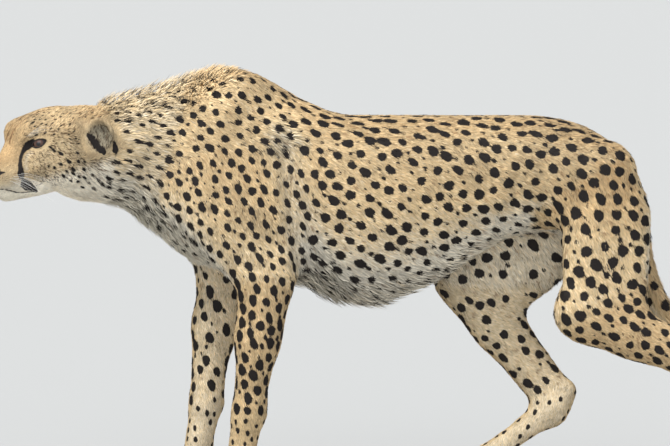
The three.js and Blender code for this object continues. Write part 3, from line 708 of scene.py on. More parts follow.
def lid_line(turn):
    """Runs round the almond: the upper lid from the inner corner, then back along the lower."""
    upper = turn < math.pi
    share = np.where(upper, 0.5 - 0.5 * np.cos(turn), 0.5 + 0.5 * np.cos(turn - math.pi))
    height = np.where(upper, UPPER_LID, -LOWER_LID) * lid_arc(share)
    return INNER_CORNER + share[:, None] * LID_RUN + height[:, None] * LID_OVER, share


def faces_outward(obj):
    """Turns all faces of a closed mesh outward, and shades it smooth."""
    make_active(obj)
    bpy.ops.object.mode_set(mode="EDIT")
    bpy.ops.mesh.select_all(action="SELECT")
    bpy.ops.mesh.normals_make_consistent(inside=False)
    bpy.ops.object.mode_set(mode="OBJECT")
    smooth_shaded(obj)


def lid_rim(side, sign):
    deselect()
    bpy.ops.mesh.primitive_torus_add(major_segments=RIM_SECTIONS, minor_segments=RIM_SIDES,
                                     major_radius=1, minor_radius=TORUS)
    rim = named("lid_rim_" + side)
    x, y, z = points_of(rim).T
    line, share = lid_line(np.arctan2(y, x) % (2 * math.pi))
    thick = RIM_THICK + (RIM_CORNER - RIM_THICK) * smoothstep(0.25, 0, share)
    away = unit(line - 0.5 * (INNER_CORNER + OUTER_CORNER))
    across = line + away * (RIM_OUTWARD + (np.hypot(x, y) - 1) / TORUS * thick)[:, None]
    height = RIM_LIFT + z / TORUS * thick * RIM_FLATNESS
    move_points(rim, on_eyeball(across, height, sign))
    rim.location = (0, 0, 0)
    faces_outward(rim)
    return rim


rims = [lid_rim("left", LEFT), lid_rim("right", RIGHT)]
print("rims:", len(rims[0].data.polygons), "faces each")

# %% [markdown]
# The nose leather is grown from its node in the same way as the skin, in much smaller voxels.
# Two nostrils are pressed into it, each a comma that opens to the side, with a groove between
# them that runs down to the lip. Its wings are widened and lifted, and the whole is set back a
# little, so that its edge lies in the skin.

# %% Nose
NOSE_VOXEL = 0.9 * MM
NOSTRILS = [  # centre, radii and depth; they sink back and a little upward
    ((2.0, 7.5, -3.0), (3.2, 3.6, 3.2), 5.0), ((4.5, 11.5, -4.5), (3.0, 3.0, 2.2), 3.2)]
NOSTRIL_WAY = np.array((0.9, 0.0, 0.35))
NOSE_GROOVE, GROOVE_DEPTH, GROOVE_WIDTH = [(-4, 0, -1), (0, 0, -8), (4, 0, -16)], 1.5, 1.3
WING_SPREAD, WING_RISE, NOSE_SET_BACK = 0.2, 1.6, 2.6

nose = copy_of("nose", "nose_leather")
apply_modifier(nose, "REMESH", mode="VOXEL", voxel_size=NOSE_VOXEL)
apply_modifier(nose, "SMOOTH", factor=0.5, iterations=6)
places, sides = folded(points_of(nose)), np.sign(to_head(points_of(nose))[:, 1])
for centre, radii, deep in NOSTRILS:
    share = np.exp(-(((places - centre) / np.array(radii)) ** 2).sum(axis=1))
    places = places + share[:, None] * deep * NOSTRIL_WAY
places[:, 0] += GROOVE_DEPTH * hollow(along_line(places, NOSE_GROOVE), GROOVE_WIDTH)
wings = smoothstep(3, 14, places[:, 0])
places[:, 1] *= sides * (1 + WING_SPREAD * wings)
places[:, 2] += WING_RISE * wings * smoothstep(0, 8, places[:, 2])
places[:, 0] += NOSE_SET_BACK
move_points(nose, from_head(places))
nose_back = places[:, 0].max()
smooth_shaded(nose)
print("nose: %d faces, %.0f mm deep" % (len(nose.data.polygons), np.ptp(places[:, 0])))

# %% [markdown]
# A cheetah's claws are blunt and always show a little. Copies of the sixteen claw nodes are
# rounded by a Subdivision modifier, so that the coarse hooks become smooth ones, and swelled a
# little in exchange for what the rounding takes away.

# %% Claws
CLAWS = [name for name in frame["nodes"] if name.startswith("claw")]
CLAW_SWELLING = 0.35 * MM
claws = joined([copy_of(name, name + "_smooth") for name in CLAWS], "claws")
apply_modifier(claws, "SUBSURF", levels=2, render_levels=2)
move_points(claws, points_of(claws) + normals_of(claws) * CLAW_SWELLING)
smooth_shaded(claws)
print("claws:", len(CLAWS), "of them,", len(claws.data.polygons), "faces")

# %% [markdown]
# The lie of a coat is the way its hair points. It streams back from the nose, over the crown and
# along the back, slants down across the flanks and runs down the legs. Each part gets one rough
# direction, these are evened out over the skin, and what is left along the surface is the lie.

# %% The lie of the coat
LIE = {
    "neck": (1, 0, -0.3), "trunk": (1, 0, -0.65), "shoulder": (0.55, 0, -1),
    "forearm": (0.25, 0, -1), "pastern": (0.1, 0, -1), "forepaw": (-0.8, 0, -0.5),
    "thigh": (0.55, 0, -1), "shank": (0.8, 0, -0.6), "hock": (-0.35, 0, -1),
    "hindpaw": (-0.8, 0, -0.5),
}
CHEEK = ("out", 20, 40), ("height", 50, 20), ("back", 40, 70)
LIE_UPWARD = [(-1.3, SKULL, *CHEEK), (0.25, SKULL, ("height", 30, 50))]
TAIL_LINE = [(280, 556), (318, 532), (341, 486), (348, 431), (357, 372), (385, 305), (436, 225),
             (496, 160), (579, 132), (659, 152), (716, 200)]


def on_line(points, line):
    """For each point, how far along a line it lies, and which way the line runs there."""
    line = np.asarray(line, float)
    runs = np.diff(line, axis=0)
    lengths = np.linalg.norm(runs, axis=1)
    before = np.concatenate([[0], np.cumsum(lengths)])
    least, place = np.full(len(points), 1e9), np.zeros(len(points))
    way = np.zeros((len(points), line.shape[1]))
    for start, run, wide, passed in zip(line, runs, lengths, before):
        share = np.clip((points - start) @ run / wide ** 2, 0, 1)
        away = np.linalg.norm(points - start - share[:, None] * run, axis=1)
        nearer = away < least
        least, place = np.minimum(least, away), np.where(nearer, passed + share * wide, place)
        way[nearer] = run / wide
    return place / before[-1], way


def along_surface(vectors, normals):
    """What is left of each direction when it is laid on the surface."""
    return unit(vectors - (vectors * normals).sum(axis=1)[:, None] * normals)


places, normals = points_of(skin), normals_of(skin)
part, known = part_index(places), landmarks(places, normals)
head, head_side = skin_on_head()
is_skull, is_ear, is_tail = is_part(part, *SKULL), is_part(part, "ear"), is_part(part, "tail")
tail_share, tail_way = on_line(places[:, (0, 2)] / MM, TAIL_LINE)

lie = np.zeros_like(places)
for start, way in LIE.items():
    lie[is_part(part, start)] = way
lie[is_skull] = (HEAD_BACK + summed(LIE_UPWARD, part, known)[:, None] * HEAD_UP)[is_skull]
outward = head_side[:, None] * HEAD_SIDE
lie[is_ear] = (0.25 * HEAD_BACK + 0.35 * outward + HEAD_UP)[is_ear]
lie[is_tail] = np.insert(tail_way, 1, 0, axis=1)[is_tail]
lie = along_surface(spread(unit(lie), 24), normals)
print("lie: downward on", int((lie[:, 2] < -0.7).sum()), "of", len(lie), "points of skin")

# %% [markdown]
# The ground colour of a cheetah runs from golden tan on the back and the outer legs, through
# cream on the neck and the flanks, to white underneath, on the chin, round the eyes and at the
# tip of the tail. One number says how pale the coat is at each point of the skin, and one how
# much grey underfur shows in it. A third is painted light and shade: the coat is made lighter
# where the sun falls on the crown, the mane and the hump, lighter under the head as if lit from
# the ground, and darker where shade falls under the belly, inside the far hind leg, on the ears
# and behind the shoulder.

# %% Tables of the ground colours
UNDER, NOT_UNDER = ("height", -8, -32), ("height", -32, -8)  # of the head
BROAD_MANE = ("upward", 0.3, 0.8), ("x", -290, -370)
PALER = [
    (0.55, BODY, ("upward", -0.15, -0.75)), (-0.16, BODY, ("upward", 0.45, 0.9)),
    (0.2, BODY, ("z", 520, 400)), (0.25, BODY, ("x", -330, -430), ("z", 560, 470)),
    (0.3, FORELEG + HINDLEG, ("inward", 0.2, 0.8)), (0.25, ("thigh",), ("rearward", 0.4, 0.9)),
    (0.30, ("thigh",), ("z", 520, 400)), (0.5, ("tail",), ("over_tail", 0.1, -0.7)),
    (0.02, SKULL, ("height", 35, 60)), (0.14, SKULL, *CHEEK), (0.55, SKULL, UNDER),
    (-0.10, SKULL, ("out", 26, 8), NOT_UNDER), (-0.12, SKULL, ("back", 90, 60), ("height", 5, 20)),
    (0.18, SKULL, ("back", 60, 30), ("height", 8, -14)),
    (0.27, ("trunk", "shoulder"), STRIP), (0.08, BODY, *BROAD_MANE),
]
GREYER = [
    # The row for the inside of the thighs and shanks is painted shade, such as falls inside the far
    # hind leg; the row for the strip behind the shoulder is partly its own grey and partly painted
    # shade.
    (0.15, ("thigh", "shank"), ("inward", 0.2, 0.8)), (0.08, SKULL, *CHEEK, NOT_UNDER),
    (0.10, SKULL, ("back", 60, 30), ("height", 20, 0)), (0.2, ("trunk",), STRIP),
    (0.35, BODY, ("upward", -0.1, -0.7), ("x", -300, -420)), (0.04, BODY, *BROAD_MANE),
]
# Painted light and shade by part: lighter on the broad mane and the crown, where the sun falls, and
# under the head, as if lit from the ground; darker on the ears, along the strip behind the shoulder
# and on the muzzle.
LIGHT_AND_SHADE_BY_PART = [
    (0.5, BODY, *BROAD_MANE), (-0.5, ALL, STRIP), (-0.5, ("ear",)), (-0.15, SKULL),
    (0.9, SKULL, ("height", 35, 60), ("back", 95, 125)), (0.8, SKULL, UNDER),
    (-0.3, SKULL, ("back", 70, 45), NOT_UNDER),
]
# Painted light and shade round places: lighter on the hump, the mane, the nape, the crown and the
# middle of the flank; darker under the belly, inside the far hind leg, behind the shoulder, on the
# hip and on the neck.
LIGHT_AND_SHADE_AT = [  # how much brighter the hair is, round which place, and how far that reaches
    (-0.5, (229, 0, 575), (150, 400, 130)), (0.4, (-40, 0, 460), (260, 400, 120)),
    (-0.55, (-300, 0, 440), (90, 400, 120)), (0.15, (325, 0, 400), (110, 400, 130)),
    (-0.3, (4, 0, 550), (240, 400, 80)), (-0.6, (-455, 0, 535), (90, 400, 60)),
    (0.5, (-235, 0, 630), (110, 400, 60)), (0.9, (-704, -92, 570), (34, 60, 24)),
    (-0.5, (-699, -112, 523), (38, 60, 18)), (0.65, (-561, 0, 638), (40, 400, 28)),
    (-0.35, (-628, 0, 626), (50, 400, 28)), (-0.5, (40, 80, 320), (80, 60, 80)),
    (-0.6, (-110, 0, 345), (180, 400, 50)), (0.9, (-345, 0, 668), (80, 400, 40)),
    (0.35, (-470, 0, 624), (80, 400, 35)), (0.4, (-595, 0, 522), (50, 400, 24)),
]
DARKER_CROWN = (0.12, (-561, 0, 628), (45, 400, 26))
# Inside the ear cup the hair is greyed: partly its own grey and partly painted shade in the hollow.
EAR_CUP, EAR_EDGE, CUP_FACES = np.array((185.0, 62.0, 17.0)), 25, np.array((-0.55, 0.83, 0.0))
CUP_GREY_AND_SHADE, EDGE_PALE = 0.9, 0.6
WHITE_TAIL_TIP = (0.84, 0.92)  # where along the tail it begins and is full
WHITE_BY_EYE = [
    [(70, 40, 50), (76, 41, 54), (84, 43, 54)],
    [(67, 38, 27), (59, 34, 21), (54, 34, 11), (52, 35, 0)],
]


def bump(points, centre, radii):
    """One at a centre, falling softly to nothing at an ellipsoid round it."""
    offset = (points / MM - np.asarray(centre, float)) / np.asarray(radii, float)
    return 1 - smoothstep(0, 1, np.linalg.norm(offset, axis=1))


print("tables:", len(PALER) + len(GREYER) + len(LIGHT_AND_SHADE_BY_PART) + len(LIGHT_AND_SHADE_AT), "rows")

# %% [markdown]
# With the tables at hand, three numbers are worked out for each point of the skin: how pale and
# how grey the coat is there, and how much painted light and shade it gets. They are softened
# along the mesh.

# %% Ground colours
known["over_tail"] = normals[:, 2] * tail_way[:, 0] - normals[:, 0] * tail_way[:, 1]
pale = by_part(part, "pale") + summed(PALER, part, known)
grey = by_part(part, "grey") + summed(GREYER, part, known)
pale = np.where(is_tail, np.maximum(pale, smoothstep(*WHITE_TAIL_TIP, tail_share)), pale)
pale -= DARKER_CROWN[0] * bump(places, *DARKER_CROWN[1:])
ear_away = np.linalg.norm(head - EAR_CUP, axis=1)
head_normals = normals @ HEAD_AXES.T
head_normals[:, 1] *= head_side
in_ear = is_ear * smoothstep(0.0, 0.5, head_normals @ CUP_FACES)
in_ear = in_ear * smoothstep(EAR_EDGE - 1, EAR_EDGE - 6, ear_away)
ear_edge = is_ear * hollow(ear_away - EAR_EDGE, 2.2)
grey = grey * (1 - in_ear) + CUP_GREY_AND_SHADE * in_ear
pale = pale * (1 - ear_edge) + EDGE_PALE * ear_edge
for line in WHITE_BY_EYE:
    white = 0.75 * smoothstep(7.5, 1.5, along_line(head, line))
    pale, grey = np.maximum(pale, white), grey * (1 - white)
pale, grey = np.clip(spread(pale, 5), 0, 1), np.clip(spread(grey, 5), 0, 1)
# Painted light and shade, from both tables.
painted_light = summed(LIGHT_AND_SHADE_BY_PART, part, known)
for amount, centre, radii in LIGHT_AND_SHADE_AT:
    painted_light += amount * bump(places, centre, radii)
painted_light = spread(painted_light, 5)
print("pale: mean %.2f; grey: mean %.2f" % (pale.mean(), grey.mean()))

# %% [markdown]
# A cheetah's spots are solid and black, about as wide as a thumb on the flank and the thigh,
# and no bigger than a lentil on the crown. They keep apart from one another, so they are thrown
# like darts. The larger ones of the cheek are listed, and rules say where the thrown ones are
# smaller, closer or longer.

# %% Rules for the spots
CHEEK_SPOTS = [  # back, side and up on the head, and radius
    (96, 55, 26, 3.2), (101, 56, 20, 3.4), (110, 61, 11, 4.3), (119, 65, -4, 4.5),
    (124, 64, -19, 4.6), (122, 63, -27, 4.2), (130, 56, -43, 4.0), (143, 44, -58, 4.0),
    (103, 62, -6, 3.6), (93, 59, -8, 3.0), (83, 56, -4, 2.5), (106, 60, -26, 3.8),
    (112, 61, -19, 3.0),
    (144, 63, -26, 4.2), (158, 58, -41, 4.2), (143, 59, -41, 4.2), (135, 65, -8, 3.7),
    (132, 60, -33, 3.6), (151, 50, -52, 3.6), (118, 57, -38, 3.2), (80, 52, -17, 2.3),
    (137, 66, 6, 3.0), (147, 66, -12, 3.2), (92, 52, -22, 2.3), (168, 54, -52, 4.2),
    (176, 52, -60, 4.4), (186, 52, -56, 4.2), (160, 46, -64, 3.8),
]
CHEEK_LINE = [(98, 56, 10), (125, 62, -15), (150, 55, -45)]  # the spots listed above lie round it
SPOT_TRIES = 60000
SMALL_SPOTS = ("trunk", "thigh", "shoulder", "shank", "forearm")
SMALL_SHARE, SMALL_ROOM, SMALL_GAP = 0.42, 0.72, 0.70  # size, room to a large spot, gap between
HUMP_BEFORE, PLAIN_TAIL = -250 * MM, 0.66
PLAIN_FACE, PLAIN_CHIN, PLAIN_EAR = 78, -28, 40  # no thrown spots there
TOP, CHEST = ("upward", 0.5, 0.9), ("x", -190, -250)
SMALLER_SPOTS = [(-0.3, ("trunk",), ("upward", -0.4, -0.8)), (-0.2, ("trunk",), CHEST)]
CLOSER_SPOTS, LONGER_SPOTS = [(-0.15, ("trunk",), CHEST)], [(0.25, ("trunk",), TOP)]
HUMP_SPOTS = [(-0.15, ("trunk", "shoulder"), TOP), (0.1, ("neck",), TOP)]
print("rules:", len(SMALLER_SPOTS + CLOSER_SPOTS + LONGER_SPOTS + HUMP_SPOTS), "for the spots")

# %% [markdown]
# Places on the skin are taken in random order, and each that is kept rules out all others within
# its gap. A second throw sets small spots in the gaps that are left between the large ones.

# %% Throw the spots
corner_index = read(skin.data.loops, "vertex_index", 1, np.int32).reshape(-1, 3)


def slow_noise(points, size, seed):
    """A smooth noise from about -1 to 1 whose waves are some millimetres long."""
    scaled = points / (size * MM) + seed * 17.3
    return np.array([noise.noise(Vector(point)) for point in scaled]) * 1.6


def scatter(per_face):
    """Random places on the skin's faces: the corners' indices and each one's share."""
    count = np.floor(per_face + rng.random(len(per_face))).astype(int)
    face = np.repeat(np.arange(len(per_face)), count)
    a, b = np.sqrt(rng.random(len(face))), rng.random(len(face))
    return corner_index[face], np.stack([1 - a, a * (1 - b), a * b], axis=1)


def at(field, corners, shares):
    """A field's value at scattered places."""
    shares = shares.reshape(shares.shape + (1,) * (field.ndim - 1))
    return (field[corners] * shares).sum(axis=1)


def nearest_part(corners, shares):
    return part[corners[np.arange(len(corners)), shares.argmax(axis=1)]]


face_area = read(skin.data.polygons, "area", 1) / MM ** 2
corners, shares = scatter(face_area * SPOT_TRIES / face_area.sum())
tries, tries_lie, tries_normal = (at(field, corners, shares) for field in (places, lie, normals))
tries_head, tries_part = folded(tries), nearest_part(corners, shares)
tries_known = landmarks(tries, tries_normal)
gap, radius, stretch = (by_part(tries_part, column) for column in ("gap", "radius", "stretch"))
allowed = radius > 0
stretch += summed(LONGER_SPOTS, tries_part, tries_known)
gap *= 1 + summed(CLOSER_SPOTS, tries_part, tries_known)
for row in SMALLER_SPOTS:
    radius *= 1 + summed([row], tries_part, tries_known)
radius *= 1 + summed(HUMP_SPOTS, tries_part, tries_known) * (tries[:, 0] < HUMP_BEFORE)
on_inside = 0.94 * smoothstep(0.3, 0.8, tries_known["inward"])
on_leg = is_part(tries_part, "forearm", "pastern", "thigh", "shank", "hock")
allowed &= ~(on_leg & (rng.random(len(tries)) < on_inside))
own_spots = (tries_head[:, 0] < PLAIN_FACE) | (tries_head[:, 2] < PLAIN_CHIN)
own_spots |= along_line(tries_head, CHEEK_LINE) < 33
allowed &= ~(is_part(tries_part, "head") & own_spots)
allowed &= ~(is_part(tries_part, "tail") & (at(tail_share, corners, shares) > PLAIN_TAIL))
allowed &= ~(is_part(tries_part, "neck") & (tries_normal[:, 2] < -0.8))
allowed &= np.linalg.norm(tries_head - EAR_CUP, axis=1) > PLAIN_EAR
try_tree = tree_of(tries)


def rule_out(open_places, row, room):
    for _, other, _ in try_tree.find_range(tries[row], room * MM):
        open_places[other] = False


def throw(open_places, gaps):
    """Takes open places in random order; each that is kept rules out those within its gap."""
    kept = []
    for i in rng.permutation(len(tries)):
        if open_places[i]:
            kept.append(i)
            rule_out(open_places, i, gaps[i])
    return kept


large_rows = throw(allowed.copy(), gap)
open_places = allowed & is_part(tries_part, *SMALL_SPOTS)
for i in large_rows:
    rule_out(open_places, i, SMALL_ROOM * gap[i])
small_rows = throw(open_places, SMALL_GAP * gap)
radius[small_rows] *= SMALL_SHARE * rng.uniform(0.75, 1.25, len(small_rows))
kept = np.array(large_rows + small_rows)
print("spots:", len(large_rows), "large and", len(small_rows), "small")

# %% [markdown]
# The dark marks of the face are lines of their own: the tear stripe from the inner corner of the
# eye to the lip, the black corner of the mouth, the lips, a mark on the brow and a fine line down
# the forehead. Each is a list of places on the head with half widths. The rings of the tail are
# kept as places along it.

# %% Lines of the face, the ears and the tail
FACE_LINES = [  # each point's back, side, up and half width
    [(73, 37, 39, 7.0), (67, 35.5, 37, 7.0), (61, 33.5, 33, 4.8), (56.5, 30.5, 28, 3.4),
     (52, 28.5, 21, 3.0), (48.5, 28.5, 14, 3.0), (46, 30, 7, 3.6), (45, 31.3, 0, 4.8),
     (44, 31, -5.5, 6.0), (44, 30, -11, 5.2)],
    [(46, 30, -19, 4.0), (49, 28, -25, 8.0), (55, 26, -31, 8.5), (62, 24, -37.5, 6.0),
     (70, 21, -44, 2.5)],
    [(8, 14, 0, 5.4), (12, 14.9, 1, 5.0), (19, 20, 3, 1.2)],
    [(x, y, z, 1.1) for x, y, z in MOUTH],
    [(80, 23, 71, 1.5), (87, 26, 72, 2.2)],
    [(0, 0, -12, 1.5), (3, 0, -20, 1.2), (4, 3, -23, 1.0)],
]
BROWN_LINES = [
    [(46, 9, 44, 1.4), (55, 7, 57, 2.2), (68, 8, 67, 2.4), (87, 9, 76, 1.8), (105, 10, 80, 1.2),
     (130, 12, 82, 0.8)],
    [(72, 32, 65, 2.2), (69, 38, 55, 1.8)],
    [(14, 21, -6, 0.8), (26, 26, -4, 0.8), (37, 30, -3, 0.6)],
    [(12, 20, -11, 0.8), (25, 25, -10, 0.8), (38, 29, -10, 0.6)],
    [(14, 20, -16, 0.8), (26, 24, -16, 0.8), (37, 27, -17, 0.6)],
]
# The line in each ear is painted shade in the hollow of its opening, drawn in black like a mark.
EAR_OPENING_SHADE = np.array([(168, 57, 27, 4.5), (172, 58, 19, 6.5), (176, 60, 10, 7.0), (181, 62, 0, 6.0),
                      (186, 64, -8, 4.0)])
BEHIND_EAR, BEHIND_EAR_RADII = (204, 73, -5), np.array((5, 14, 14))
TAIL_RINGS = [(0.70, 0.018), (0.765, 0.02), (0.83, 0.022), (0.895, 0.022)]  # middle, half width
TAIL_LENGTH = 690.0
LOBES = [(2, 0.06), (3, 0.055), (5, 0.03)]  # how many round a spot, and how large
SPOT_REACH = 9.0  # distances are kept up to this far
LID_MARK = 2.1  # how far the black goes past the eye's opening
LID_TURNS = np.linspace(0, 2 * math.pi, 41)

print("lines:", len(FACE_LINES), "black,", len(BROWN_LINES), "brown; rings:", len(TAIL_RINGS))

# %% [markdown]
# Each spot has its own size, stretch and lobes. The listed spots of the cheek are added to the
# thrown ones, on both sides of the head.

# %% The size and stretch of each spot
cheek_places = [from_head((x, y * side, z)) for side in (LEFT, RIGHT) for x, y, z, _ in CHEEK_SPOTS]
nearest = tree_of(places)
cheek = np.array([nearest.find(place)[1] for place in cheek_places])
cheek_radius = 0.84 * np.array([row[3] for row in CHEEK_SPOTS] * 2)
spot_place = np.concatenate([tries[kept], places[cheek]])
spot_normal = np.concatenate([tries_normal[kept], normals[cheek]])
spot_along = along_surface(np.concatenate([tries_lie[kept], lie[cheek]]), unit(spot_normal))
spot_across = np.cross(spot_normal, spot_along)
spot_radius = np.concatenate([radius[kept] * rng.uniform(0.82, 1.1, len(kept)), cheek_radius])
thrown_stretch = stretch[kept] * rng.uniform(0.88, 1.16, len(kept))
spot_stretch = np.concatenate([thrown_stretch, np.full(len(cheek), 1.55)])
spot_phase = rng.uniform(0, 2 * math.pi, (len(spot_place), len(LOBES)))
spot_tree = tree_of(spot_place)


print("spots:", len(spot_place), "in all, with those of the cheeks")

# %% [markdown]
# Spots, stripes and rings are all kept as the distance from each point to the edge of the mark in
# millimetres, negative inside it. A distance stays sharp between the points of a mesh, while a
# colour would blur.

# %% Distance to the nearest dark mark
def spot_distance(points):
    """Distance in millimetres from each point to the edge of the nearest thrown spot."""
    found = np.array([[hit[1] for hit in spot_tree.find_n(point, 2)] for point in points])
    least = np.full(len(points), SPOT_REACH)
    for which in found.T:
        offset = (points - spot_place[which]) / MM
        along = (offset * spot_along[which]).sum(axis=1) / spot_stretch[which]
        across = (offset * spot_across[which]).sum(axis=1) * spot_stretch[which] ** 0.5
        deep = (offset * spot_normal[which]).sum(axis=1)
        angle = np.arctan2(across, along)
        edge = spot_radius[which].copy()
        for i, (count, share) in enumerate(LOBES):
            edge *= 1 + share * np.sin(count * angle + spot_phase[which, i])
        least = np.minimum(least, np.sqrt(along ** 2 + across ** 2 + 0.25 * deep ** 2) - edge)
    return least


def line_distance(places, line):
    """Distance to the edge of a line whose rows end in its half width."""
    line = np.asarray(line)
    return along_line(places, line[:, :3], line[:, 3])


def head_marks(places):
    """Distance to the black marks of the face, the painted shade in the ears' openings and the mark
    behind each ear, for places on the folded head.
    """
    marks = np.full(len(places), SPOT_REACH)
    for line in laid_lines:
        marks = np.minimum(marks, line_distance(places, line))
    across, out, _ = eye_coordinates(places)
    lids = along_line(across, lid_line(LID_TURNS)[0]) - LID_MARK
    lids = np.where(almond(across) > 0, -3, lids)
    marks = np.minimum(marks, np.where(out > 6, lids, SPOT_REACH))
    behind = np.linalg.norm((places - BEHIND_EAR) / BEHIND_EAR_RADII, axis=1)
    ears = np.minimum(line_distance(places, EAR_OPENING_SHADE), (behind - 1) * 12)
    ears += 3.2 * slow_noise(places * MM, 5, 4)
    return np.minimum(marks + 0.5 * slow_noise(places * MM, 3, 6), ears)


def black_distance(points):
    """Distance to the edge of any black mark: spots, stripes, lips, lids, the marks behind the
    ears, the painted shade in their openings, and rings.
    """
    least, head = spot_distance(points), folded(points)
    near = head[:, 0] < 240
    least[near] = np.minimum(least[near], head_marks(head[near]))
    flat = points[:, (0, 2)] / MM
    on_tail = (along_line(flat, TAIL_LINE) < 40) & (np.abs(points[:, 1]) < 40 * MM)
    on_tail &= flat[:, 0] > 430
    share, _ = on_line(flat[on_tail], TAIL_LINE)
    for middle, half in TAIL_RINGS:
        least[on_tail] = np.minimum(least[on_tail], (np.abs(share - middle) - half) * TAIL_LENGTH)
    return np.clip(least, -SPOT_REACH, SPOT_REACH)


def brown_amount(points):
    """Fine brown lines on the forehead and above the lip."""
    head = folded(points)
    amount = np.zeros(len(points))
    near = head[:, 0] < 140
    for line in BROWN_LINES:
        soft = 0.75 * smoothstep(1.2, -0.6, line_distance(head[near], line))
        amount[near] = np.maximum(amount[near], soft)
    return amount


laid_lines = [laid_on_skin(line) for line in FACE_LINES]
black, brown = black_distance(places), brown_amount(places)
print("marks: %.0f%% of the skin's points are black" % (100 * (black < 0).mean()))

# %% [markdown]
# Skin and coat must show the same colours, so the rule that turns the numbers into a colour is a
# node group, built once and used by both materials. It starts from a ramp from golden tan to
# white, leans toward grey and brown, varies each tuft's brightness by its random share and by the
# painted light and shade, darkens toward the root as painted shade among the hairs, and lays
# the black marks on top where the distance to the nearest mark is below zero.

# %% The coat's colours as a node group
GOLD, CREAM, WHITE = (0.435, 0.265, 0.115), (0.63, 0.475, 0.27), (0.72, 0.66, 0.54)
GREY_HAIR, BROWN_HAIR = (0.33, 0.30, 0.22), (0.17, 0.075, 0.03)
BLACK_HAIR, BLACK_TIP = (0.009, 0.007, 0.006), (0.022, 0.016, 0.014)
MARK_EDGE = 0.9  # millimetres over which a mark's edge fades
ROOT_LIGHT, TIP_LIGHT, SHADE_LIGHT, LEAST_LIGHT = 0.80, 0.34, 0.42, 0.12
COAT_INPUTS = ["Mark", "Brown", "Pale", "Grey", "Shade", "Rise"]


def node_of(tree, kind, **settings):
    node = tree.nodes.new(kind)
    for key, value in settings.items():
        setattr(node, key, value)
    return node


def feed(tree, sockets, terms):
    """Gives each socket a number, a colour, or another node's output."""
    for socket, term in zip(sockets, terms):
        if isinstance(term, bpy.types.NodeSocket):
            tree.links.new(term, socket)
        else:
            socket.default_value = (*term, 1) if isinstance(term, tuple) else term


def math_node(tree, operation, *terms, clamp=False):
    node = node_of(tree, "ShaderNodeMath", operation=operation, use_clamp=clamp)
    feed(tree, node.inputs, terms)
    return node.outputs["Value"]


def mix_colour(tree, share, first, second, blend="MIX"):
    node = node_of(tree, "ShaderNodeMix", data_type="RGBA", blend_type=blend)
    feed(tree, [node.inputs[0], node.inputs[6], node.inputs[7]], (share, first, second))
    return node.outputs[2]


def ramp_of(tree, share, stops):
    """A ColorRamp with a colour at each place."""
    node = node_of(tree, "ShaderNodeValToRGB")
    elements = node.color_ramp.elements
    while len(elements) < len(stops):
        elements.new(0.5)
    for element, (place, colour) in zip(elements, stops):
        element.position = place
        element.color = (*colour, 1)
    tree.links.new(share, node.inputs["Fac"])
    return node.outputs["Color"]


def coat_group():
    tree = bpy.data.node_groups.new("coat_colour", "ShaderNodeTree")
    for name in COAT_INPUTS:
        tree.interface.new_socket(name, in_out="INPUT", socket_type="NodeSocketFloat")
    tree.interface.new_socket("Color", in_out="OUTPUT", socket_type="NodeSocketColor")
    given = node_of(tree, "NodeGroupInput").outputs
    ground = ramp_of(tree, given["Pale"], [(0.0, GOLD), (0.5, CREAM), (1.0, WHITE)])
    colour = mix_colour(tree, given["Grey"], ground, GREY_HAIR)
    colour = mix_colour(tree, given["Brown"], colour, BROWN_HAIR)
    # Painted light and shade: darker at the root, where the hairs shade each other, and lighter or
    # darker by the Shade input.
    lit = math_node(tree, "MULTIPLY_ADD", given["Rise"], TIP_LIGHT, ROOT_LIGHT)
    lit = math_node(tree, "MULTIPLY_ADD", given["Shade"], SHADE_LIGHT, lit)
    lit = math_node(tree, "MAXIMUM", lit, LEAST_LIGHT)
    grey = node_of(tree, "ShaderNodeCombineColor")
    feed(tree, grey.inputs, [lit] * 3)
    colour = mix_colour(tree, 1.0, colour, grey.outputs["Color"], "MULTIPLY")
    dark = mix_colour(tree, given["Rise"], BLACK_HAIR, BLACK_TIP)
    edge = math_node(tree, "MULTIPLY_ADD", given["Mark"], -1 / MARK_EDGE, 0.5, clamp=True)
    colour = mix_colour(tree, edge, colour, dark)
    tree.links.new(colour, node_of(tree, "NodeGroupOutput").inputs["Color"])
    return tree


coat_colour = coat_group()
print("group:", coat_colour.name, "takes", COAT_INPUTS)

# %% [markdown]
# The skin's material and the coat's material read the numbers from named attributes and pass them
# through the group. Hair scatters light, so both are rough; the skin gets a fine grain of bump,
# as it is seen between the tufts.

# %% Materials of skin and coat
SKIN_RISE = 0.35  # bare skin has the brightness of a tuft at this height


def attribute(tree, name):
    return node_of(tree, "ShaderNodeAttribute", attribute_name=name).outputs["Fac"]


def noise_of(tree, scale, detail=2.0):
    """A noise in the object's own space."""
    node = node_of(tree, "ShaderNodeTexNoise")
    node.inputs["Scale"].default_value = scale
    node.inputs["Detail"].default_value = detail
    tree.links.new(node_of(tree, "ShaderNodeTexCoord").outputs["Object"], node.inputs["Vector"])
    return node.outputs["Fac"]


def roughen(tree, shader, height, distance):
    """Lets a noise raise and lower the surface by some millimetres."""
    node = node_of(tree, "ShaderNodeBump")
    node.inputs["Strength"].default_value = 0.5
    node.inputs["Distance"].default_value = distance * MM
    tree.links.new(height, node.inputs["Height"])
    tree.links.new(node.outputs["Normal"], shader.inputs["Normal"])


def hair_material(name, grainy):
    """The coat's colours, rough, since hair scatters light."""
    material, tree, shader = new_material(name, {"Roughness": 0.72, "Specular IOR Level": 0.25})
    colour = node_of(tree, "ShaderNodeGroup", node_tree=coat_colour)
    for key in COAT_INPUTS:
        tree.links.new(attribute(tree, key.lower()), colour.inputs[key])
    tree.links.new(colour.outputs["Color"], shader.inputs["Base Color"])
    if grainy:
        roughen(tree, shader, noise_of(tree, 900), 0.6)
    return material


coat_material = hair_material("coat_hair", False)
skin_material = hair_material("skin_under_hair", True)
skin_rise = np.full(len(places), SKIN_RISE)
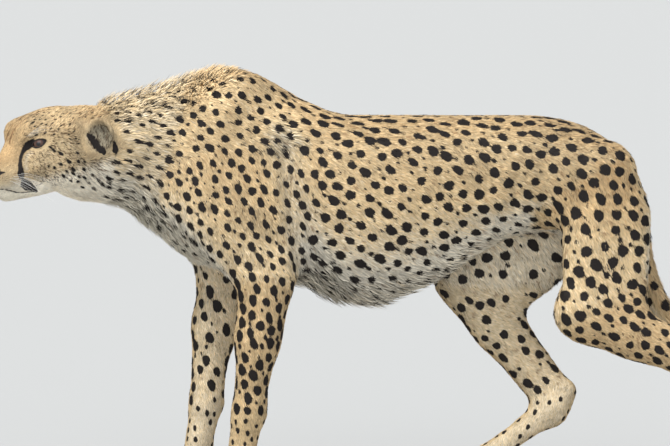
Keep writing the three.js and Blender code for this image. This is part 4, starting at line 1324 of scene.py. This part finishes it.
# The skin's shade attribute holds the painted light and shade.
for key, values in zip(COAT_INPUTS, (black, brown, pale, grey, painted_light, skin_rise)):
    store(skin, key.lower(), values)
smooth_shaded(skin)
print("materials:", coat_material.name, "and", skin_material.name)

# %% [markdown]
# The bare parts have materials of their own. The iris is amber brown with a black edge, under a
# clear wet coat. The rims and the nose are black leather with a fine grain; the claws are horn.

# %% Materials of eyes, nose and claws
AMBER, BROWN_IRIS, BALL = (0.095, 0.036, 0.016), (0.035, 0.013, 0.008), (0.02, 0.012, 0.010)
PUPIL_BLACK, PUPIL_RIM = (0.004, 0.003, 0.003), (0.006, 0.004, 0.004)
NOSE_BLACKS = (0.007, 0.006, 0.006), (0.020, 0.016, 0.015)
RIM_BLACKS = (0.006, 0.005, 0.005), (0.016, 0.012, 0.011)
HORNS = (0.10, 0.075, 0.055), (0.26, 0.20, 0.14)
OFF, ON, FAINT = (0, 0, 0), (1, 1, 1), (0.1, 0.1, 0.1)


def grainy_material(name, dark, light, scale, roughness, stops=(0.35, 0.7), detail=3.0, grain=0.3):
    """A noise varies both the colour and the height."""
    material, tree, shader = new_material(name, {"Roughness": roughness})
    height = noise_of(tree, scale, detail)
    colour = ramp_of(tree, height, [(stops[0], dark), (stops[1], light)])
    tree.links.new(colour, shader.inputs["Base Color"])
    if grain:
        roughen(tree, shader, height, grain)
    return material


def eye_material():
    """Pupil, iris and dark edge by the distance from the pupil's middle."""
    values = {"Roughness": 0.20, "Coat Weight": 0.4, "Coat Roughness": 0.03}
    material, tree, shader = new_material("eye_wet", values)
    iris = ramp_of(tree, noise_of(tree, 900), [(0.35, BROWN_IRIS), (0.65, AMBER)])
    share = math_node(tree, "DIVIDE", attribute(tree, "from_pupil"), EYE_RADIUS)
    inner, outer = PUPIL_REACH / EYE_RADIUS, IRIS_REACH / EYE_RADIUS
    mask = ramp_of(tree, share, [(inner - 0.02, OFF), (inner + 0.02, ON), (outer - 0.10, ON),
                                 (outer - 0.02, FAINT)])
    ball = ramp_of(tree, share, [(0.0, PUPIL_BLACK), (outer - 0.02, PUPIL_RIM),
                                 (outer + 0.06, BALL)])
    tree.links.new(mix_colour(tree, mask, ball, iris), shader.inputs["Base Color"])
    return material


nose_black = grainy_material("nose_leather", *NOSE_BLACKS, 1500, 0.45)
rim_black = grainy_material("rim_leather", *RIM_BLACKS, 1200, 0.35)
claw_horn = grainy_material("claw_horn", *HORNS, 260, 0.38, (0.3, 0.75), 2.0, grain=0)
eye_wet = eye_material()
owners = {skin: skin_material, nose: nose_black, claws: claw_horn, eyes[0]: eye_wet,
          eyes[1]: eye_wet, rims[0]: rim_black, rims[1]: rim_black}
for piece, material in owners.items():
    piece.data.materials.clear()
    piece.data.materials.append(material)
print("materials:", [m.name for m in bpy.data.materials if m.users])

# %% [markdown]
# A tuft stands for a pinch of hairs that cling together. The shortest ones are spikes with four
# faces: two corners and a ridge at the root, and a tip. Longer ones bend halfway and have ten
# faces. They are far too many to model one by one, so the points of all of them are worked out
# together as arrays. First come their sizes: width, how closely they stand and how far they lift.

# %% Size, number and lift of the tufts
COVER, FACE_COVER = 1.5, 1.9  # how many tufts lie over each other on average
TUFT_LIMIT = 1.7  # the most tufts in a square millimetre
NOSE_ROOM = 0.9  # millimetres round the nose leather that stay bare
EYE_HAIR, EAR_HAIR = 2.4, 6.0  # the hair's length round the eyes and in the ears
LID_ROOM, LIP_ROOM, SOLE = -1.2, 1.0, 5 * MM
LIFT = [  # degrees over the skin
    (11, ALL), (42, BODY, ("upward", 0.3, 0.8), ("x", -600, -540), ("x", -285, -370)),
    (9, BODY, ("upward", -0.3, -0.8)), (10, ("trunk",), STRIP), (8, ("tail",)), (9, ("neck",)),
    (5, SKULL, ("back", 110, 160)),
]

length = spread(by_part(part, "length") + summed(LONGER_HAIR, part, known), 8)
width = spread(by_part(part, "width"), 6)
across, eye_out, offset = eye_coordinates(head)
near_eye = smoothstep(26, 17, np.linalg.norm(offset, axis=1)) * (eye_out > 0)
length = length * (1 - near_eye) + EYE_HAIR * near_eye
length = np.where(in_ear > 0.3, EAR_HAIR, length)
width = width * (1 - 0.35 * near_eye) * (1 - 0.3 * is_skull * smoothstep(60, 20, head[:, 0]))
lift = spread(summed(LIFT, part, known) + 10 * in_ear, 8)
cover = np.where(is_skull | is_ear, FACE_COVER, COVER)
crowd = np.minimum(cover / (0.5 * width * length), TUFT_LIMIT)
nose_points, nose_normals = points_of(nose), normals_of(nose)
nose_tree, nose_room = tree_of(nose_points), np.zeros(len(places), bool)
for i in np.flatnonzero((head[:, 0] < nose_back + 4) & (np.abs(head[:, 2]) < 20)):
    closest = nose_tree.find(places[i])[1]
    nose_room[i] = (places[i] - nose_points[closest]) @ nose_normals[closest] < NOSE_ROOM * MM
bare = nose_room | ((places[:, 2] < SOLE) & (normals[:, 2] < -0.6))
bare |= (eye_out > 3) & (almond(across) > LID_ROOM)
bare |= is_skull & (along_line(head, MOUTH) < LIP_ROOM)
crowd = np.where(bare, 0.0, crowd)
print("tufts: %.2f to %.2f in a square millimetre" % (crowd[~bare].min(), crowd.max()))

# %% [markdown]
# Every tuft gets a root on the skin, then its own turn, length and brightness. Neighbours turn
# alike, because a slow noise turns them together, and on the mane, the belly and the tail they
# lift away from the body. Each tuft takes its distances to the marks at its root, its middle and
# its tip, so that the edge of a spot runs across the tufts where it was thrown.

# %% Root the tufts
MARKED_AT = (0.18, 0.5, 0.85)  # the root, the middle and the tip, as shares of the length
LEAST_LIFT, MOST_LIFT = 5, 65
faces_crowd = crowd[corner_index].mean(axis=1)
faces_crowd[(crowd[corner_index] == 0).any(axis=1)] = 0
corners, shares = scatter(face_area * faces_crowd)
root, root_normal = at(places, corners, shares), unit(at(normals, corners, shares))
root_lie = along_surface(at(lie, corners, shares), root_normal)
root_part = nearest_part(corners, shares)
count = len(root)


def turned(vectors, axes, angles):
    """Each vector turned about its axis, which it is square to."""
    return vectors * np.cos(angles)[:, None] + np.cross(axes, vectors) * np.sin(angles)[:, None]


wave, fine_wave = slow_noise(root, 26, 1), slow_noise(root, 7, 2)
turn = np.radians(13 * wave + 12 * fine_wave + rng.normal(0, 7, count))
root_lie = turned(root_lie, root_normal, turn)
tuft_length = at(length, corners, shares) * rng.uniform(0.72, 1.18, count) * (1 + 0.15 * fine_wave)
tuft_width = at(width, corners, shares) * rng.uniform(0.75, 1.25, count)
tuft_lift = at(lift, corners, shares) * rng.uniform(0.6, 1.4, count)
tuft_lift = np.radians(np.clip(tuft_lift, LEAST_LIFT, MOST_LIFT))
ragged = 0.35 + 0.06 * np.maximum(tuft_length - 8, 0) + 0.3 * is_part(root_part, "neck")
ragged *= rng.normal(0, 1, count)
along_tuft = [root + root_lie * (share * tuft_length * MM)[:, None] for share in MARKED_AT]
tuft_marks = np.stack([black_distance(points) + ragged for points in along_tuft], axis=1)
tuft_brown = brown_amount(along_tuft[1])
tuft_pale = np.clip(at(pale, corners, shares) + rng.normal(0, 0.10, count), 0, 1)
tuft_grey = np.clip(at(grey, corners, shares) + rng.normal(0, 0.06, count), 0, 1)
# A tuft's brightness starts from the painted light and shade of the skin under it, with slow waves
# and a random share on top.
tuft_shade = at(painted_light, corners, shares) + 0.35 * wave + 0.45 * fine_wave
tuft_shade += rng.normal(0, 0.46, count)
print("tufts:", count, "rooted,", int((tuft_marks[:, 1] < 0).sum()), "of them black")

# %% [markdown]
# Dark hairs are strewn through the cheeks, the crown and the mane, where they read as fine
# ticking and as streaks. Small faint brown specks lie between the spots of the body.

# %% Ticking, streaks and specks
TICK_SIZE, STREAK_SIZE, SPECK_SIZE = 2.8, 3.4, 9  # millimetres
STREAK_STRETCH = (0.5, 1, 0.35)
TICKED, STREAKED = 0.85, 0.34  # the share of tufts that are dark where they are densest
DARK_SHADE, DARK_BROWN, SPECK_BROWN = 1.5, 0.8, 0.55
SPECKLED = ("trunk", "thigh", "shoulder", "forearm", "shank")
root_head = folded(root)
ticked = is_part(root_part, "head") * (0.2 + 0.8 * smoothstep(48, 75, root_head[:, 0]))
ticked *= 1 - smoothstep(-25, -50, root_head[:, 2])
ticked *= 1 - 0.5 * smoothstep(50, 65, root_head[:, 2])
ticked = np.where(at(in_ear, corners, shares) > 0.3, 1.0, ticked)
ticked = ticked * smoothstep(-0.05, 0.2, slow_noise(root, TICK_SIZE, 9))
mane = summed([(1, BODY, *BROAD_MANE)], part, known)
streak = at(mane, corners, shares) * smoothstep(-320, -400, root[:, 0] / MM)
streak = streak * smoothstep(0.3, 0.7, slow_noise(root * STREAK_STRETCH, STREAK_SIZE, 5))
dark = rng.random(count) < np.maximum(TICKED * ticked, STREAKED * streak)
tuft_shade = np.where(dark, tuft_shade - DARK_SHADE, tuft_shade)
tuft_brown = np.where(dark, np.maximum(tuft_brown, DARK_BROWN), tuft_brown)
speck = smoothstep(0.55, 0.75, slow_noise(root, SPECK_SIZE, 7)) * smoothstep(3, 5, tuft_marks[:, 1])
tuft_brown = np.maximum(tuft_brown, SPECK_BROWN * speck * is_part(root_part, *SPECKLED))
print("dark hairs:", int(dark.sum()), "tufts")

# %% [markdown]
# The coat is kept in pieces, so that each can be handled on its own: two halves of the head, the
# ears, the neck, four quarters of the body, the legs and the tail. Each piece carries an unwrap
# of the skin under it, and every tuft keeps a patch three thousandths wide at its root's place.

# %% Pieces of the coat
BODY_MIDDLE_X = -60.0
root_flat = root[:, (0, 2)] / MM
root_side = np.where(root[:, 1] < 0, "left", "right")
head_half = np.where(to_head(root)[:, 1] > 0, "left", "right")
at_head, at_ear, at_tail, at_leg = (
    is_part(root_part, *starts) for starts in (SKULL, ("ear",), ("tail",), FORELEG + HINDLEG))
is_rear = root_flat[:, 0] > BODY_MIDDLE_X
piece_of = np.where(is_rear, "coat_body_rear_", "coat_body_front_").astype("U32")
for label, starts in (("coat_head_", SKULL), ("coat_ear_", ("ear",)), ("coat_neck_", ("neck",)),
                      ("coat_foreleg_", FORELEG), ("coat_hindleg_", HINDLEG)):
    piece_of[is_part(root_part, *starts)] = label
piece_of = np.char.add(piece_of, np.where(at_head | at_ear, head_half, root_side))
piece_of[at_tail] = "coat_tail"
azimuth = np.arctan2(root_normal[:, 1], root_normal[:, 0]) / (2 * math.pi)
slope = np.arcsin(np.clip(root_normal[:, 2], -1, 1)) / math.pi
head_angle = np.arctan2(root_head[:, 1], root_head[:, 2] - 10) / math.pi
cup_shift, tail_v = (at(in_ear, corners, shares) > 0.5) * 1.5, slope + 0.6 * (root[:, 1] > 0)
root_u, root_v = root_flat[:, 0] / 400, slope + root_flat[:, 1] / 1200
for chosen, u, v in [(at_head, root_head[:, 0] / 240, head_angle),
                     (at_ear, root_head[:, 0] / 60 + cup_shift, root_head[:, 2] / 60),
                     (at_leg, azimuth, root_flat[:, 1] / 500),
                     (at_tail, 2 * at(tail_share, corners, shares), tail_v)]:
    root_u, root_v = np.where(chosen, u, root_u), np.where(chosen, v, root_v)
names, sizes = np.unique(piece_of, return_counts=True)
print("pieces:", dict(zip(names.tolist(), sizes.tolist())))

# %% [markdown]
# A table says where each point of a tuft lies: on which ring, how far to the side, up and along,
# and where on its patch of the unwrap. The normals are leaned toward those of the skin, so that
# light falls over the coat as over one soft surface.

# %% The points of a tuft
LONG_FROM = 15.0  # millimetres: longer tufts bend and have two segments
PATCH = 0.003
NORMAL_LEAN, TIP_LEAN = 0.45, 0.3  # how far a tuft's normals turn to its own sides and tip
ROOT_DEPTH = 0.35 * MM
MIDDLE_LIFT = 1.35  # a bent tuft's middle lifts more than its tip
SPIKE = np.array([(0, 2, 3), (2, 1, 3), (1, 0, 3), (0, 1, 2)])
BENT = np.array([(0, 2, 5), (0, 5, 3), (2, 1, 4), (2, 4, 5), (1, 0, 3), (1, 3, 4), (0, 1, 2),
                 (3, 5, 6), (5, 4, 6), (4, 3, 6)])
SPIKE_POINTS = np.array([  # ring, then side, up and along in half widths; rise; place on the patch
    (0, 1, 0, 0, 0, -0.4, -0.5), (0, -1, 0, 0, 0, 0.4, -0.5), (0, 0, 1.1, 1, 0.15, 0, -0.3),
    (2, 0, 0, 0, 1, 0, 0.5)])
BENT_POINTS = np.array([
    (0, 1, 0, 0, 0, -0.4, -0.5), (0, -1, 0, 0, 0, 0.4, -0.5), (0, 0, 1, 0, 0.1, 0, -0.4),
    (1, 0.85, 0, 0, 0.5, -0.3, 0), (1, -0.85, 0, 0, 0.5, 0.3, 0), (1, 0, 0.7, 0, 0.55, 0, 0.05),
    (2, 0, 0, 0, 1, 0, 0.5)])
KINDS = [(SPIKE, SPIKE_POINTS, 1.0), (BENT, BENT_POINTS, 0.85)]  # and the lift of the tip


def tuft_points(chosen, table, tip_lift):
    """The points of the chosen tufts, and their normals."""
    up, along = root_normal[chosen], root_lie[chosen]
    across, half = np.cross(up, along), tuft_width[chosen, None] * MM / 2
    rings = [root[chosen] - up * ROOT_DEPTH]
    for share, lifted in ((0.5, MIDDLE_LIFT), (1.0, tip_lift)):
        lift = tuft_lift[chosen, None] * lifted
        way = along * np.cos(lift) + up * np.sin(lift)
        rings.append(rings[0] + way * tuft_length[chosen, None] * MM * share)
    points, normals = [], []
    for ring, aside, above, onward in table[:, :4]:
        points.append(rings[int(ring)] + (aside * across + above * up + onward * along) * half)
        at_tip = TIP_LEAN * (ring == 2)
        normals.append(up + NORMAL_LEAN * np.sign(aside) * across + at_tip * along)
    return np.stack(points, 1), np.stack(normals, 1)


print("tuft:", len(SPIKE_POINTS), "or", len(BENT_POINTS), "points")

# %% [markdown]
# One function turns a set of roots into a mesh. One small pattern of faces is shifted from tuft
# to tuft, and every point keeps the numbers of its tuft, which the material reads.

# %% Grow the tufts
def mesh_from(name, points, faces):
    """A mesh object from arrays of points and triangles."""
    mesh = bpy.data.meshes.new(name)
    mesh.vertices.add(len(points))
    mesh.vertices.foreach_set("co", points.astype(np.float32).ravel())
    mesh.loops.add(faces.size)
    mesh.loops.foreach_set("vertex_index", faces.astype(np.int32).ravel())
    mesh.polygons.add(len(faces))
    mesh.polygons.foreach_set("loop_start", np.arange(0, faces.size, 3, dtype=np.int32))
    mesh.update(calc_edges=True)
    obj = bpy.data.objects.new(name, mesh)
    bpy.context.scene.collection.objects.link(obj)
    return obj


def grow(name, chosen):
    """One piece of the coat from the rows of its tufts."""
    kinds, before = [], 0
    is_long = tuft_length[chosen] > LONG_FROM
    for some, (pattern, table, tip_lift) in zip((chosen[~is_long], chosen[is_long]), KINDS):
        size, count = len(table), len(some)
        points, normals = tuft_points(some, table, tip_lift)
        faces = (pattern[None] + before + size * np.arange(count)[:, None, None]).reshape(-1, 3)
        marks = tuft_marks[some][:, table[:, 0].astype(int)].ravel()
        rises, patches = np.tile(table[:, 4], count), np.tile(table[:, 5:] * PATCH, (count, 1))
        kinds.append((points.reshape(-1, 3), normals.reshape(-1, 3), rises, marks, faces,
                      np.repeat(some, size), patches))
        before += count * size
    points, normals, rises, marks, faces, rows, patches = map(np.concatenate, zip(*kinds))
    points[:, 2] = np.maximum(points[:, 2], 0)  # the hair of the feet bends at the ground
    piece = mesh_from(name, points, faces)
    fields = [marks] + [field[rows] for field in (tuft_brown, tuft_pale, tuft_grey, tuft_shade)]
    for key, values in zip(COAT_INPUTS, fields + [rises]):
        store(piece, key.lower(), values)
    unwrapped = np.stack([root_u, root_v], axis=1)
    low, high = unwrapped[chosen].min(axis=0), unwrapped[chosen].max(axis=0)
    places = ((unwrapped[rows] - low) / (high - low) * 0.98 + 0.01 + patches)[faces.ravel()]
    layer = piece.data.uv_layers.new(name="OFBake")
    layer.uv.foreach_set("vector", places.astype(np.float32).ravel())
    smooth_shaded(piece)
    piece.data.normals_split_custom_set_from_vertices(unit(normals))
    piece.data.materials.append(coat_material)
    return piece


coat = [grow(str(name), np.nonzero(piece_of == name)[0]) for name in names]
sizes = [len(piece.data.polygons) for piece in coat]
print("coat:", sum(sizes), "triangles, at most", max(sizes), "in a piece")

# %% [markdown]
# Whiskers are stiff white hairs that spring from rows on the upper lip and sweep back and down.
# Each is a thin tapered rod with five sides; its middle line droops, and the rods of both sides
# are one mesh.

# %% Whiskers
WHISKER_ROOTS = [  # back and up on the lip, and length, all in millimetres
    (22, -5, 34), (30, -4, 42), (37, -4, 48), (43, -6, 50),
    (20, -11, 32), (28, -10, 42), (35, -10, 50), (41, -12, 55), (46, -13, 50),
    (27, -16, 36), (34, -17, 44), (40, -18, 50), (45, -20, 46),
]
BROW_ROOTS = [(66, 52, 34), (72, 55, 40), (78, 57, 36)]
WHISKER_SIDES, WHISKER_RINGS = 5, 9
WHISKER_THICK, WHISKER_TAPER = 0.24 * MM, 0.85  # radius at the root, and the share that it loses
DROOP = np.array((0.45, 0.0, -0.50))
skin_tree = tree_of(points_of(skin))


def whisker(sign, side, back, up, reach, way):
    """The points of a tapered rod that springs from the skin and droops toward its tip."""
    place = np.array(skin_tree.find(from_head((back, side * sign, up)))[0])
    way = np.array(way) * (1, sign, 1) @ HEAD_AXES
    way = way / np.linalg.norm(way)
    share = np.linspace(0, 1, WHISKER_RINGS)[:, None]
    droop = DROOP * rng.uniform(0.75, 1.2)
    line = place + (way * share + droop * share ** 2) * reach * MM
    across = np.cross(way, (0, 0, 1))
    across /= np.linalg.norm(across)
    turn = np.arange(WHISKER_SIDES)[:, None] / WHISKER_SIDES * 2 * math.pi
    ring = np.cos(turn) * across + np.sin(turn) * np.cross(across, way)
    thick = WHISKER_THICK * (1 - WHISKER_TAPER * share)
    return (line[:, None] + ring[None] * thick[:, None]).reshape(-1, 3)


rods = []
for sign in (LEFT, RIGHT):
    rods += [whisker(sign, 36, back, up, reach, (0.50, 0.70, 0.10 + 0.03 * up))
             for back, up, reach in WHISKER_ROOTS]
    rods += [whisker(sign, 38, back, up, reach, (0.75, 0.45, 0.5))
             for back, up, reach in BROW_ROOTS]
sides = np.arange(WHISKER_SIDES)
onward = (sides + 1) % WHISKER_SIDES
starts = WHISKER_SIDES * np.arange(WHISKER_RINGS - 1)[:, None]
walls = [np.stack([starts + corner for corner in face], axis=-1).reshape(-1, 3)
         for face in ((sides, onward, WHISKER_SIDES + onward),
                      (sides, WHISKER_SIDES + onward, WHISKER_SIDES + sides))]
last = WHISKER_SIDES * (WHISKER_RINGS - 1)
caps = [(0, i + 1, i) for i in range(1, 4)] + [(last, last + i, last + i + 1) for i in range(1, 4)]
pattern = np.concatenate([*walls, np.array(caps)])
faces = np.concatenate([pattern + i * WHISKER_SIDES * WHISKER_RINGS for i in range(len(rods))])
whiskers = mesh_from("whiskers", np.concatenate(rods), faces)
faces_outward(whiskers)
whisker_white = grainy_material("whisker_hair", (0.62, 0.60, 0.55), (0.80, 0.79, 0.75), 300, 0.4)
whiskers.data.materials.append(whisker_white)
print("whiskers:", len(rods))

# %% [markdown]
# Last, the nodes get the coat's material and are hidden, so that the skin shows in place of the
# nodes of flesh and the smooth eyes, nose and claws in place of theirs, with the coat over them.
# Nothing moves, so all of them ride on the one body.

# %% Ride and finish
for node in frame["nodes"].values():
    node.data.materials.clear()
    node.data.materials.append(coat_material)
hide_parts(*FLESH)
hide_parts("eye_left")
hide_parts("eye_right")
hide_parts("nose")
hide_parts(*CLAWS)
slots = {skin: "coat", nose: "nose", claws: "claw", whiskers: "pale_coat"}
for piece in eyes + rims:
    slots[piece] = "eye"
for piece in coat:
    slots[piece] = "coat"
for piece, slot in slots.items():
    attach(piece, "root")
deselect()
